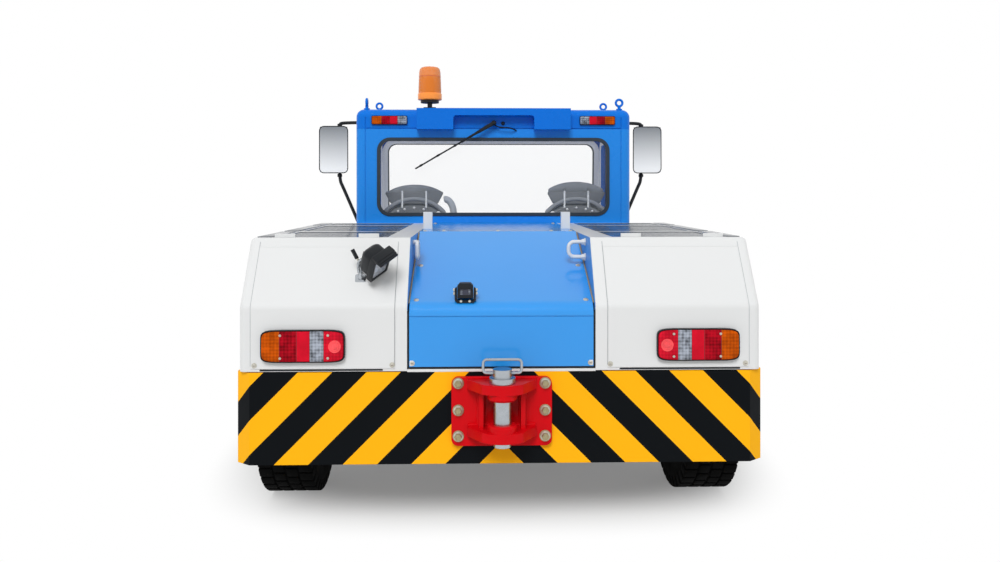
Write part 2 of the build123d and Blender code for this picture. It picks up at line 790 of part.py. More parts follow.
def pod_nodes():
    """Rear and front pods, the rear panels and the slatted decks."""
    rear_outline = pod_outline(REAR, POD_SLOPE_RUN, POD_CREASE, POD_TOP, CAB_REAR)
    rear = pod(rear_outline, REAR_WELL_IN, REAR_ARCH, REAR_AXLE_Y)
    panels = []
    for y0, y1 in deck_bays():
        rear -= box(DECK_IN, DECK_OUT, y0 - DECK_GAP, y1 + DECK_GAP, POD_TOP - DECK_DEPTH, POD_TOP + HIDDEN)
        panels += pair(deck_panel(y0, y1))
    nose_outline = pod_outline(FRONT, NOSE_POD_SLOPE, NOSE_POD_CREASE, NOSE_POD_TOP, NOSE_POD_REAR)
    nose = pod(nose_outline, FRONT_WELL_IN, FRONT_ARCH, FRONT_AXLE_Y)
    return {
        "rear_pods": pair(rear),
        "front_pods": pair(nose),
        "pod_panels": pair(rear_panel()),
        "deck_grilles": panels,
    }


def hood_nodes():
    """The rear hood and its lower panel, and the front hood with a slotted face."""
    end_y = CAB_REAR - HOOD_END_GAP
    drop = HOOD_WALL
    fold_z = HOOD_CREASE + HOOD_LIP
    slope = (HOOD_TOP - fold_z) / HOOD_SLOPE_RUN
    sunk = drop / math.cos(math.atan(slope))
    inner_z = fold_z + drop * slope - sunk
    outline = [
        (REAR, HOOD_CREASE),
        (REAR, fold_z),
        (REAR + HOOD_SLOPE_RUN, HOOD_TOP),
        (end_y, HOOD_TOP),
        (end_y, HOOD_TOP - drop),
        (REAR + HOOD_SLOPE_RUN + (sunk - drop) / slope, HOOD_TOP - drop),
        (REAR + drop, inner_z),
        (REAR + drop, HOOD_CREASE),
    ]
    cover = side_slab(outline, -HOOD_HALF, HOOD_HALF)
    for corner, radius in ((outline[1], HOOD_ROUND), (outline[6], HOOD_ROUND - drop)):
        cover = fillet(fold_edges(cover, corner), radius)
    lower = box(-HOOD_HALF, HOOD_HALF, REAR, REAR + HOOD_WALL, HOOD_Z0, HOOD_CREASE - HOOD_SEAM)

    nose_end = NOSE_POD_REAR
    nose_outer = [
        (FRONT, HOOD_Z0),
        (FRONT, NOSE_HOOD_CREASE),
        (FRONT - NOSE_HOOD_SLOPE, NOSE_HOOD_TOP),
        (nose_end, NOSE_HOOD_TOP),
        (nose_end, NOSE_HOOD_TOP - drop),
        (FRONT - NOSE_HOOD_SLOPE - drop * 0.2, NOSE_HOOD_TOP - drop),
        (FRONT - drop, NOSE_HOOD_CREASE - drop * 0.6),
        (FRONT - drop, HOOD_Z0),
    ]
    nose = side_slab(nose_outer, -HOOD_HALF, HOOD_HALF)
    slot_half = HOOD_HALF - GRILLE_EDGE
    for step in range(GRILLE_SLOTS):
        z = HOOD_Z0 + HOOD_WALL + GRILLE_PITCH * step
        nose -= box(-slot_half, slot_half, FRONT - drop - HIDDEN, FRONT + HIDDEN, z, z + GRILLE_SLOT)
    return {"hood_cover": cover, "hood_rear_panel": lower, "front_hood": nose}


def roof_z(y):
    """Height of the roof's outer face, which rises towards the front."""
    return ROOF_REAR + (ROOF_FRONT - ROOF_REAR) * (y - CAB_REAR) / (ROOF_FRONT_Y - CAB_REAR)


def front_y(z):
    """Place of the cab's leaning front face at a height."""
    return CAB_FRONT + (ROOF_FRONT_Y - CAB_FRONT) * (z - CAB_FLOOR) / (ROOF_FRONT - CAB_FLOOR)


def cab_outer():
    """The cab's outside as one rounded solid."""
    outline = [
        (CAB_REAR, CAB_FLOOR),
        (CAB_REAR, ROOF_REAR),
        (ROOF_FRONT_Y, ROOF_FRONT),
        (CAB_FRONT, CAB_FLOOR),
    ]
    block = side_slab(outline, -CAB_HALF, CAB_HALF)
    rounded = [edge for edge in block.edges() if edge.center().Z > CAB_FLOOR + 1]
    return fillet(rounded, CAB_ROUND)


def cab_cavity():
    """The room inside the cab."""
    rear = CAB_REAR + CAB_WALL
    floor = FLOOR_TOP
    top = roof_z(CAB_REAR) - CAB_WALL
    rise = roof_z(ROOF_FRONT_Y - CAB_WALL) - CAB_WALL
    outline = [
        (rear, floor),
        (rear, top),
        (front_y(rise) - CAB_WALL, rise),
        (front_y(floor) - CAB_WALL, floor),
    ]
    half = CAB_HALF - CAB_SIDE
    return side_slab(outline, -half, half)


def across_y(width, z0, z1, corner, y0, y1):
    """A rounded rectangle in X and Z, carried along Y."""
    face = Pos(0, y0, (z0 + z1) / 2) * Rot(90, 0, 0) * RectangleRounded(width, z1 - z0, corner)
    return extrude(face, y1 - y0, dir=(0, 1, 0))


def across_x(length, z0, z1, corner, x0, x1, y):
    """A rounded rectangle in Y and Z, carried along X."""
    face = Plane.YZ * Pos(y, (z0 + z1) / 2) * RectangleRounded(length, z1 - z0, corner)
    return Pos(x0, 0, 0) * extrude(face, x1 - x0, dir=(1, 0, 0))


def leaning_slab(depth0, depth1):
    """A slab parallel to the cab's front face, between two depths behind it."""
    low = CAB_FLOOR
    high = ROOF_FRONT
    outline = [
        (front_y(low) - depth0, low),
        (front_y(high) - depth0, high),
        (front_y(high) - depth1, high),
        (front_y(low) - depth1, low),
    ]
    return side_slab(outline, -CAB_HALF, CAB_HALF)


def hinge_barrel(z, half, fixed):
    """One length of a right-hand door hinge with its leaf, on the pillar or on the door."""
    axis_x = CAB_HALF + HINGE_OUT
    barrel = upright(HINGE_RADIUS, axis_x, FRONT_SEAM, z - half, z + half)
    reach = sorted((FRONT_SEAM, FRONT_SEAM + (HINGE_LEAF if fixed else -HINGE_LEAF)))
    return barrel + box(CAB_HALF, axis_x, reach[0], reach[1], z - half, z + half)


def cab_nodes():
    """The cab's panels, split where the real ones meet, with its doors and glass."""
    outer = cab_outer()
    shell = outer - cab_cavity()
    far = BODY_LENGTH
    groove_y = CAB_REAR + GROOVE_DEPTH
    for x in (-CAB_HALF + POST_GROOVE_IN, CAB_HALF - POST_GROOVE_IN):
        half = GROOVE_WIDTH / 2
        shell -= box(x - half, x + half, CAB_REAR - HIDDEN, groove_y, FLOOR_TOP, ROOF_REAR - CAB_ROUND)
    groove_half = CAB_HALF - POST_GROOVE_IN
    shell -= box(-groove_half, groove_half, CAB_REAR - HIDDEN, groove_y, ROOF_SEAM, ROOF_SEAM + GROOVE_WIDTH)
    floor = shell & box(-far, far, -far, far, CAB_FLOOR, FLOOR_TOP)
    roof = shell & box(-far, far, -far, far, ROOF_SEAM, far)
    rear = shell & box(-far, far, -far, REAR_SEAM, FLOOR_TOP, ROOF_SEAM)
    front = shell & box(-far, far, FRONT_SEAM, far, FLOOR_TOP, ROOF_SEAM)

    rear_y0 = CAB_REAR - SEAL_PROUD
    rear_cut = across_y(2 * WINDOW_HALF, WINDOW_Z0, WINDOW_Z1, WINDOW_CORNER, rear_y0, CAB_REAR + HIDDEN)
    inner = WINDOW_CORNER - SEAL_WIDTH
    pane = across_y(
        2 * (WINDOW_HALF - SEAL_WIDTH), WINDOW_Z0 + SEAL_WIDTH, WINDOW_Z1 - SEAL_WIDTH,
        inner, rear_y0, CAB_REAR + HIDDEN,
    )
    rear_band = box(-far, far, rear_y0, CAB_REAR + SEAL_DEPTH, 0, far)
    glass_y = CAB_REAR + GLASS_INSET
    rear_glass_band = box(-far, far, glass_y, glass_y + GLASS_THICK, 0, far)
    rear_seal = (rear_cut - pane) & rear_band
    rear_glass = pane & rear_glass_band

    screen_y = (ROOF_FRONT_Y - 2 * HIDDEN, CAB_FRONT + HIDDEN)
    screen_cut = across_y(2 * SCREEN_HALF, SCREEN_Z0, SCREEN_Z1, WINDOW_CORNER, *screen_y)
    screen_pane = across_y(
        2 * (SCREEN_HALF - SEAL_WIDTH), SCREEN_Z0 + SEAL_WIDTH, SCREEN_Z1 - SEAL_WIDTH, inner, *screen_y
    )
    screen_seal = (screen_cut - screen_pane) & leaning_slab(-SEAL_PROUD, SEAL_DEPTH)
    screen_glass = screen_pane & leaning_slab(GLASS_INSET, GLASS_INSET + GLASS_THICK)

    half = CAB_HALF - CAB_SIDE
    door_y0 = REAR_SEAM + DOOR_GAP
    door_y1 = FRONT_SEAM - DOOR_GAP
    door_z1 = ROOF_SEAM - DOOR_GAP
    door = shell & box(half, far, door_y0, door_y1, FLOOR_TOP + DOOR_GAP, door_z1)
    length = door_y1 - door_y0 - 2 * DOOR_GLASS_EDGE
    middle = (door_y0 + door_y1) / 2
    glass_z1 = door_z1 - DOOR_GLASS_TOP
    glass_x = CAB_HALF - CAB_SIDE / 2
    window = across_x(length, DOOR_GLASS_Z0, glass_z1, DOOR_GLASS_CORNER, half - HIDDEN, far, middle)
    door_glass = window & box(glass_x, glass_x + GLASS_THICK, -far, far, 0, far)
    door -= window
    pull_y = door_y0 + PULL_INSET
    pull_x = CAB_HALF + PULL_STAND
    pull = rod_path(
        [
            (CAB_HALF, pull_y, PULL_Z),
            (pull_x, pull_y, PULL_Z),
            (pull_x, pull_y + PULL_LENGTH, PULL_Z),
            (CAB_HALF, pull_y + PULL_LENGTH, PULL_Z),
        ],
        PULL_ROD, PULL_CORNER,
    )

    leaf = HINGE_HALF * 2 + SEAT_GAP
    for above in HINGE_PLACES:
        z = FLOOR_TOP + above
        door += hinge_barrel(z, HINGE_HALF, False)
        for fixed in (hinge_barrel(z - leaf, HINGE_HALF, True), hinge_barrel(z + leaf, HINGE_HALF, True)):
            front += fixed
            front += mirrored(fixed)
    return {
        "cab_floor": floor,
        "cab_roof": roof,
        "cab_rear_wall": rear - rear_cut,
        "cab_front": front - screen_cut,
        "cab_glass": [rear_glass, screen_glass],
        "window_seals": [rear_seal, screen_seal],
        "door_right": door,
        "door_left": mirrored(door),
        "door_handle_right": pull,
        "door_handle_left": mirrored(pull),
        "door_glass_right": door_glass,
        "door_glass_left": mirrored(door_glass),
    }, outer


def cab_fittings(outer):
    """Header box, roof lamps, beacon, lifting eyes, mirrors and wiper."""
    header = box(-HEADER_HALF, HEADER_HALF, CAB_REAR - HEADER_DEPTH, CAB_REAR, HEADER_Z0, HEADER_Z1)
    notch_top = HEADER_Z0 + NOTCH_HEIGHT
    notch_y = CAB_REAR - HEADER_DEPTH - HIDDEN
    header -= across_y(2 * NOTCH_HALF, HEADER_Z0 - HIDDEN, notch_top, NOTCH_CORNER, notch_y, CAB_REAR)
    lamp = box(
        ROOF_LAMP_X - ROOF_LAMP_WIDTH / 2, ROOF_LAMP_X + ROOF_LAMP_WIDTH / 2,
        CAB_REAR - ROOF_LAMP_DEPTH, CAB_REAR, ROOF_LAMP_Z0, ROOF_LAMP_Z0 + ROOF_LAMP_HEIGHT,
    )

    beacon_y = CAB_REAR - HEADER_DEPTH / 2
    base = HEADER_Z1 + BEACON_STAND
    crown = base + BEACON_HEIGHT
    half_x = BEACON_PLATE / 2
    half_y = HEADER_DEPTH / 2 - BEACON_PLATE_INSET
    mount = upright(BEACON_POLE, BEACON_X, beacon_y, HEADER_Z1, base - BEACON_FOOT)
    mount += upright(BEACON_CROWN - BEACON_LIP, BEACON_X, beacon_y, base - BEACON_FOOT, base)
    mount += box(
        BEACON_X - half_x, BEACON_X + half_x, beacon_y - half_y, beacon_y + half_y,
        HEADER_Z1, HEADER_Z1 + BEACON_PLATE_THICK,
    )
    lens = [
        (0, base),
        (BEACON_RADIUS, base),
        (BEACON_RADIUS, base + BEACON_BASE),
        (BEACON_RADIUS - BEACON_STEP, base + BEACON_BASE),
        (BEACON_CROWN, crown - BEACON_SHOULDER),
        (BEACON_CROWN - BEACON_LIP, crown - BEACON_LIP),
        (BEACON_CROWN - BEACON_SHOULDER, crown),
        (0, crown),
    ]
    dome = Pos(BEACON_X, beacon_y, 0) * revolve(Plane.XZ * Polygon(*lens, align=None), Axis.Z)

    eyes = []
    for side, ahead, turn in EYES:
        x = side * EYE_X
        y = CAB_REAR + ahead
        top = roof_z(y) + EYE_STEM
        place = Pos(x, y, top + EYE_RING - EYE_ROD) * Rot(0, 0, turn) * Rot(0, 90, 0)
        ring = place * Torus(EYE_RING - EYE_ROD, EYE_ROD)
        stem = upright(EYE_STEM_RADIUS, x, y, roof_z(y) - HIDDEN, top + EYE_SINK)
        collar = upright(EYE_COLLAR_RADIUS, x, y, roof_z(y) - HIDDEN, roof_z(y) + EYE_COLLAR)
        eyes.append((stem + collar - outer) + ring)

    arm_x = MIRROR_IN + MIRROR_ARM_IN
    mirror_low = MIRROR_Z1 - MIRROR_HEIGHT
    depth = MIRROR_DEPTH / 2
    head = box(
        MIRROR_IN, MIRROR_IN + MIRROR_WIDTH, MIRROR_Y - depth, MIRROR_Y + depth, mirror_low, MIRROR_Z1
    )
    head = fillet(head.edges().filter_by(Axis.Y), MIRROR_ROUND)
    upper = rod_path(
        [
            (CAB_HALF, MIRROR_FOOT_Y, MIRROR_ARM_Z),
            (CAB_HALF + MIRROR_KNEE, MIRROR_FOOT_Y, MIRROR_ARM_Z),
            (arm_x, MIRROR_Y, MIRROR_ARM_Z),
            (arm_x, MIRROR_Y, MIRROR_Z1 - MIRROR_SINK),
        ],
        MIRROR_ARM, MIRROR_ARM * 2,
    )
    lower = rod_path(
        [
            (CAB_HALF, MIRROR_FOOT_Y, MIRROR_FOOT_Z),
            (CAB_HALF + MIRROR_FOOT, MIRROR_FOOT_Y, MIRROR_FOOT_Z),
            (arm_x, MIRROR_Y, mirror_low - MIRROR_NECK),
            (arm_x, MIRROR_Y, mirror_low + MIRROR_SINK),
        ],
        MIRROR_ARM, MIRROR_ARM * 2,
    )

    plane_y = CAB_REAR - WIPER_STAND
    thin = WIPER_BLADE / 2
    arm = box(0, WIPER_REACH, plane_y - thin, plane_y + thin, -WIPER_ARM / 2, WIPER_ARM / 2)
    blade_y = CAB_REAR - SEAL_PROUD - WIPER_CLEAR
    arm += box(WIPER_REACH - WIPER_BLADE_LENGTH, WIPER_REACH, plane_y, blade_y, -thin, thin)
    wiper = Pos(0, 0, WIPER_PIVOT_Z) * Rot(0, 180 - WIPER_DROP, 0) * arm
    pivot = Pos(0, CAB_REAR - (WIPER_STAND + WIPER_CAP) / 2, WIPER_PIVOT_Z) * Rot(90, 0, 0)
    wiper += pivot * Cylinder(WIPER_PIVOT_RADIUS, WIPER_STAND + WIPER_CAP)
    return {
        "roof_header": header,
        "roof_lamps": pair(lamp),
        "beacon_mount": mount,
        "beacon_lens": dome,
        "lifting_eyes": eyes,
        "mirrors": pair(head + upper + lower),
        "rear_wiper": wiper,
    }


def standing_ring():
    """A rod loop that stands out of the right-hand pod's inner wall."""
    tip = POD_IN - RING_LEG - RING_RADIUS
    loop = rod_path(
        [
            (POD_IN, 0, RING_RADIUS),
            (tip, 0, RING_RADIUS),
            (tip, 0, -RING_RADIUS),
            (POD_IN, 0, -RING_RADIUS),
        ],
        RING_ROD, RING_RADIUS * 0.8,
    )
    return Pos(0, REAR + RING_AHEAD, RING_Z) * loop


def hanging_ring():
    """A rod loop that hangs from a boss on the left-hand pod's inner wall."""
    x = RING_BOSS - POD_IN
    low = -2 * RING_RADIUS
    path = [(x, 0, 0), (x, RING_RADIUS, 0), (x, RING_RADIUS, low), (x, 0, low)]
    half = rod_path(path, RING_ROD, RING_RADIUS * 0.4)
    loop = half + mirror(half, about=Plane.XZ)
    loop += cross_rod(RING_ROD + 3, -POD_IN, x, 0, 0)
    return Pos(0, REAR + RING_AHEAD, RING_HANG_Z) * loop


def body_fittings(pods, hood):
    """Tail lamps, headlamps, deck posts, tabs and rings, work lamp, rear camera and side steps."""
    lamp = across_y(
        TAIL_LAMP_WIDTH, TAIL_LAMP_Z0, TAIL_LAMP_Z0 + TAIL_LAMP_HEIGHT, TAIL_LAMP_ROUND,
        REAR - PANEL_THICK - TAIL_LAMP_DEPTH, REAR - PANEL_THICK,
    )
    lamp = Pos(TAIL_LAMP_X, 0, 0) * lamp
    heads = []
    for x in (HEADLAMP_X - HEADLAMP_PITCH / 2, HEADLAMP_X + HEADLAMP_PITCH / 2):
        bezel = Pos(x, FRONT + HEADLAMP_DEPTH / 2, HEADLAMP_Z) * Rot(90, 0, 0)
        heads += pair(bezel * Cylinder(HEADLAMP_RADIUS, HEADLAMP_DEPTH))

    post_y = REAR + POST_AHEAD
    half = POST_WIDTH / 2
    post = box(POST_X - half, POST_X + half, post_y, post_y + POST_DEPTH, HOOD_TOP, HOOD_TOP + POST_HEIGHT)
    fittings = pair(post)
    tab_y = REAR + TAB_AHEAD
    half = TAB_WIDTH / 2
    for inset in TAB_INSETS:
        x = POD_IN + inset
        fittings += pair(box(x - half, x + half, tab_y, tab_y + TAB_THICK, POD_TOP, POD_TOP + TAB_HEIGHT))
    fittings += [standing_ring(), hanging_ring()]

    slope_z = POD_CREASE + (POD_TOP - POD_CREASE) * WORK_LAMP_AHEAD / POD_SLOPE_RUN
    place = Pos(-WORK_LAMP_X, REAR + WORK_LAMP_AHEAD, slope_z)
    half = WORK_LAMP_WIDTH / 2
    tall = WORK_LAMP_HEIGHT / 2
    aim = Pos(WORK_LAMP_SWING, -WORK_LAMP_BACK, WORK_LAMP_RISE) * Rot(0, 0, WORK_LAMP_TURN)
    aim = aim * Rot(WORK_LAMP_DIP, 0, 0) * Rot(0, WORK_LAMP_ROLL, 0)
    housing = box(-half, half, -WORK_LAMP_DEPTH, 0, -tall, tall)
    housing = fillet(housing.edges().filter_by(Axis.Y), WORK_LAMP_ROUND)
    visor_y = -WORK_LAMP_DEPTH - WORK_LAMP_VISOR
    visor = box(-half, half, visor_y, -WORK_LAMP_DEPTH, tall - WORK_LAMP_VISOR_THICK, tall)
    rod_end = (aim * Pos(0, -WORK_LAMP_ROD_LAP, 0)).position
    rod_route = [(0, 0, -HIDDEN), (0, 0, WORK_LAMP_RISE / 2), tuple(rod_end)]
    rod = rod_path(rod_route, WORK_LAMP_ROD, WORK_LAMP_ROUND)
    work_lamp = place * (aim * (housing + visor) + rod)
    for solid in pods:
        work_lamp -= solid

    cam_y = REAR + CAMERA_AHEAD
    cam_z = HOOD_CREASE + HOOD_LIP + (HOOD_TOP - HOOD_CREASE - HOOD_LIP) * CAMERA_AHEAD / HOOD_SLOPE_RUN
    wide = CAMERA_WIDTH / 2
    low = cam_z + CAMERA_RISE
    long = CAMERA_LENGTH / 2
    camera = box(CAMERA_X - wide, CAMERA_X + wide, cam_y - long, cam_y + long, low, low + CAMERA_HEIGHT)
    camera = chamfer(camera.edges().filter_by(Axis.Y).group_by(Axis.Z)[-1], CAMERA_CHAMFER)
    reach = wide + CAMERA_BRACKET
    strap = CAMERA_STRAP / 2
    high = cam_z + HIDDEN
    gap_z = low - CAMERA_STRAP_GAP
    bracket = box(CAMERA_X - reach, CAMERA_X + reach, cam_y - strap, cam_y + strap, cam_z - HIDDEN, high)
    bracket -= box(CAMERA_X - wide, CAMERA_X + wide, cam_y - long, cam_y + long, gap_z, high)
    camera = camera + bracket - hood
    camera = max(camera.solids(), key=lambda solid: solid.center().Z)

    step_z = CAB_FLOOR - STEP_DROP
    step = box(STEP_IN, STEP_OUT, REAR_SEAM, FRONT_SEAM, step_z, step_z + STEP_THICK)
    for y in (REAR_SEAM + STEP_HANGER_IN, FRONT_SEAM - STEP_HANGER_IN - STEP_HANGER):
        step += box(STEP_IN, STEP_IN + STEP_HANGER, y, y + STEP_HANGER, step_z, CAB_FLOOR)
    return {
        "tail_lamps": pair(lamp),
        "headlamps": heads,
        "deck_fittings": fittings,
        "work_lamp": work_lamp,
        "rear_camera": camera,
        "side_steps": pair(step),
    }


def arched_pad(x, points, crown, depth, y):
    """An upright pad: straight sides through points, arched over the top by crown, carried along Y."""
    sides = Polyline(*[(x + across, z) for across, z in points])
    first, last = points[0], points[-1]
    top = ThreePointArc((x + last[0], last[1]), (x, crown), (x + first[0], first[1]))
    face = Plane.XZ * make_face(sides.edges() + top.edges())
    return Pos(0, y, 0) * extrude(face, depth, dir=(0, 1, 0))


def seat(x, rise):
    """One seat: frame, cushion, back and headrest."""
    half = SEAT_WIDTH / 2
    floor = FLOOR_TOP
    pan = SEAT_TOP - SEAT_PAD
    back = SEAT_BACK_Y
    front = back + SEAT_BACK_THICK
    shell = back - SEAT_SHELL
    shell_top = SEAT_BACK_TOP - SEAT_SHELL_DROP
    box_half = half - SEAT_BOX_INSET
    box_end = front + SEAT_LENGTH - SEAT_BOX_INSET
    frame = box(x - box_half, x + box_half, front, box_end, floor, pan - SEAT_SHELL)
    frame += box(x - half, x + half, shell, front + SEAT_LENGTH, pan - SEAT_SHELL, pan)
    shell_half = SEAT_BACK_WIDTH / 2 - SEAT_SHELL_INSET
    brow = shell_top - SEAT_ARCH
    shell_points = [(-shell_half, brow), (-shell_half, pan), (shell_half, pan), (shell_half, brow)]
    frame += arched_pad(x, shell_points, shell_top, SEAT_SHELL, shell)
    rest_z0 = SEAT_BACK_TOP + HEADREST_GAP + rise
    post_y = back - SEAT_SHELL / 2
    for post in (-HEADREST_POST_X, HEADREST_POST_X):
        frame += upright(HEADREST_POST, x + post, post_y, brow, rest_z0 + HEADREST_POST_RISE)
    cushion = box(x - half, x + half, front + SEAT_CLEAR, front + SEAT_LENGTH, pan + SEAT_GAP, SEAT_TOP)
    wide = SEAT_BACK_WIDTH / 2
    low = pan + SEAT_GAP
    side = SEAT_BACK_TOP - SEAT_ARCH
    back_points = [(-wide, side), (-wide, low), (wide, low), (wide, side)]
    backrest = arched_pad(x, back_points, SEAT_BACK_TOP, SEAT_BACK_THICK - SEAT_GAP, back + SEAT_GAP)
    rest_y = post_y + HEADREST_POST + SEAT_GAP
    wing = HEADREST_WIDTH / 2
    foot = HEADREST_FOOT / 2
    rest_top = rest_z0 + HEADREST_HEIGHT
    tip = rest_top - HEADREST_ARCH
    rest_points = [(-wing, tip), (-foot, rest_z0), (foot, rest_z0), (wing, tip)]
    headrest = arched_pad(x, rest_points, rest_top, HEADREST_DEPTH, rest_y)
    soft = []
    for block in (cushion, backrest, headrest):
        soft.append(fillet(block.edges(), SEAT_ROUND))
    return frame, soft


def interior_nodes():
    """Seats, steering column and dashboard."""
    frames = []
    pads = ([], [], [])
    for x, rise in SEATS:
        frame, soft = seat(x, rise)
        frames.append(frame)
        for group, block in zip(pads, soft):
            group.append(block)

    half = CAB_HALF - CAB_SIDE - DASH_CLEAR
    dash = side_slab(
        [
            (front_y(DASH_Z0) - CAB_WALL, DASH_Z0),
            (front_y(DASH_Z1) - CAB_WALL, DASH_Z1),
            (front_y(DASH_Z1) - CAB_WALL - DASH_DEPTH, DASH_Z1 - DASH_LIP),
            (front_y(DASH_Z0) - CAB_WALL - DASH_FOOT, DASH_Z0),
        ],
        -half, half,
    )
    driver_x = SEATS[0][0]
    tilt = Pos(driver_x, STEER_Y, STEER_Z) * Rot(90 - STEER_TILT, 0, 0)
    wheel = Torus(STEER_RADIUS, STEER_ROD)
    wheel += Pos(0, 0, -STEER_HUB_DEPTH / 2) * Cylinder(STEER_HUB, STEER_HUB_DEPTH)
    for turn in (90, 210, 330):
        spoke = Box(STEER_RADIUS, STEER_SPOKE, STEER_SPOKE_THICK)
        wheel += Rot(0, 0, turn) * Pos(STEER_RADIUS / 2, 0, -STEER_SPOKE_THICK / 2) * spoke
    wheel += Pos(0, 0, -COLUMN_LENGTH / 2) * Cylinder(COLUMN_RADIUS, COLUMN_LENGTH)
    column = tilt * wheel - dash
    column = max(column.solids(), key=lambda solid: solid.volume)
    return {
        "seat_frames": frames,
        "seat_cushions": pads[0],
        "seat_backs": pads[1],
        "headrests": pads[2],
        "dashboard": dash,
        "steering_column": column,
    }


def all_nodes():
    """Every named piece of the tractor."""
    nodes = {}
    nodes.update(frame_nodes())
    nodes.update(hitch_nodes())
    nodes.update(axle_nodes())
    nodes.update(wheel_nodes())
    pods = pod_nodes()
    nodes.update(pods)
    hoods = hood_nodes()
    nodes.update(hoods)
    cab, outer = cab_nodes()
    nodes.update(cab)
    nodes.update(cab_fittings(outer))
    carriers = [pods["rear_pods"][1], pods["pod_panels"][1]]
    nodes.update(body_fittings(carriers, hoods["hood_cover"]))
    nodes.update(interior_nodes())
    return nodes


os.makedirs("parts", exist_ok=True)
for name, shape in all_nodes().items():
    pieces = shape if isinstance(shape, list) else [shape]
    solids = [solid for piece in pieces for solid in piece.solids()]
    whole = solids[0] if len(solids) == 1 else Compound(solids)
    export_step(whole, f"parts/{name}.step")
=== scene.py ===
import logging
import math
from dataclasses import dataclass
from enum import Enum

import bpy
from mathutils import Matrix, Vector


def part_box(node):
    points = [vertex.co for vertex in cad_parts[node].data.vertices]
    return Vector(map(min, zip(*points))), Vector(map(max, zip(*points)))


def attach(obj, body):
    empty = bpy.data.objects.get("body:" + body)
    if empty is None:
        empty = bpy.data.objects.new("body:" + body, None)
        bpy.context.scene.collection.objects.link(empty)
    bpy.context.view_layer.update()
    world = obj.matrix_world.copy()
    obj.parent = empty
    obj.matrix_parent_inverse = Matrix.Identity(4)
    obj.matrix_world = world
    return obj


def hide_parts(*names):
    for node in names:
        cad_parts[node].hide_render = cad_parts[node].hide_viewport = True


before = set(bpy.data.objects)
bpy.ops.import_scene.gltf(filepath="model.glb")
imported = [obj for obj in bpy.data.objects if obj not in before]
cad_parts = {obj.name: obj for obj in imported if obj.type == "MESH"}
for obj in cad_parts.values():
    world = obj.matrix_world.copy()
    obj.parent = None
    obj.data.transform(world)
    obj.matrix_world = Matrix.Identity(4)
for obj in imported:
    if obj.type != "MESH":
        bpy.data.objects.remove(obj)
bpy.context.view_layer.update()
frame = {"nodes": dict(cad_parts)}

MM = 0.001
LOG = logging.getLogger("tow_tractor")

Point = tuple[float, float, float]
Pair = tuple[float, float]
Colour = tuple[float, float, float, float]
Settings = dict[str, object]
Piece = bpy.types.Object
Tree = bpy.types.NodeTree
Socket = bpy.types.NodeSocket

WHITE: Colour = (1.0, 1.0, 1.0, 1.0)
ORIGIN: Point = (0.0, 0.0, 0.0)
WEAR_SIZE = 500 / 7  # Patches in which the gloss varies, in millimetres.
WEAR_SPREAD = 0.08
TONE_ENDS: Pair = (0.3, 0.7)
PRISM_SHADE_ENDS: Pair = (0.45, 0.85)
SHARP_FOLD = math.radians(32)
SMOOTH_BLOCK = math.radians(40)
SMOOTH_TURNED = math.radians(35)
SMOOTH_BENT = math.radians(50)


def linear(code: str) -> Colour:
    """Turn an sRGB hex colour into linear light.

    Args:
        code: Six hex digits with a leading hash.

    Returns:
        Linear red, green and blue, and full alpha.
    """
    parts = [int(code[i:i + 2], 16) / 255 for i in (1, 3, 5)]
    low = [c / 12.92 if c <= 0.04045 else ((c + 0.055) / 1.055) ** 2.4 for c in parts]
    return (low[0], low[1], low[2], 1.0)


def add_node(tree: Tree, kind: str, settings: Settings, **links: object) -> bpy.types.Node:
    """Add one node, set its options and inputs, and link what feeds it.

    Args:
        tree: The node tree that takes the node.
        kind: Blender's type name for the node, after "ShaderNode".
        settings: Options by attribute name, and input values by "in:" and the input's name or index.
        **links: Output sockets by the input they feed: its name with "_" for a space, or "i0" for an index.

    Returns:
        The new node.
    """
    node = tree.nodes.new(f"ShaderNode{kind}")
    for key, value in settings.items():
        if key.startswith("in:"):
            slot = key[3:]
            node.inputs[int(slot) if slot.isdigit() else slot].default_value = value
        else:
            setattr(node, key, value)
    for key, socket in links.items():
        if key[0] == "i" and key[1:].isdigit():
            tree.links.new(socket, node.inputs[int(key[1:])])
        else:
            tree.links.new(socket, node.inputs[key.replace("_", " ")])
    return node


def calc(tree: Tree, operation: str, *operands: object, clamp: bool = False) -> Socket:
    """Add one arithmetic node.

    Args:
        tree: The node tree that takes the node.
        operation: Blender's name for the operation.
        *operands: Sockets and plain numbers, in the order of the node's inputs.
        clamp: True to keep the result between 0 and 1.

    Returns:
        The result.
    """
    settings: Settings = {"operation": operation, "use_clamp": clamp}
    links = {}
    for i, operand in enumerate(operands):
        if isinstance(operand, float):
            settings[f"in:{i}"] = operand
        else:
            links[f"i{i}"] = operand
    return add_node(tree, "Math", settings, **links).outputs[0]


def noise(tree: Tree, place: Socket, size: float, detail: float, roughness: float = 0.5) -> Socket:
    """Add a noise pattern.

    Args:
        tree: The node tree that takes the node.
        place: Coordinates in metres.
        size: Size of the pattern's coarsest forms in millimetres.
        detail: How many finer layers are added.
        roughness: How strong the finer layers are.

    Returns:
        The pattern's value.
    """
    settings = {"in:Scale": 1000 / size, "in:Detail": detail, "in:Roughness": roughness}
    return add_node(tree, "TexNoise", settings, Vector=place).outputs["Fac"]


def blank_material(name: str) -> bpy.types.Material:
    """Make a material with no nodes yet.

    Args:
        name: The material's name.

    Returns:
        The new material.
    """
    material = bpy.data.materials.new(name)
    material.use_nodes = True
    material.node_tree.nodes.clear()
    return material


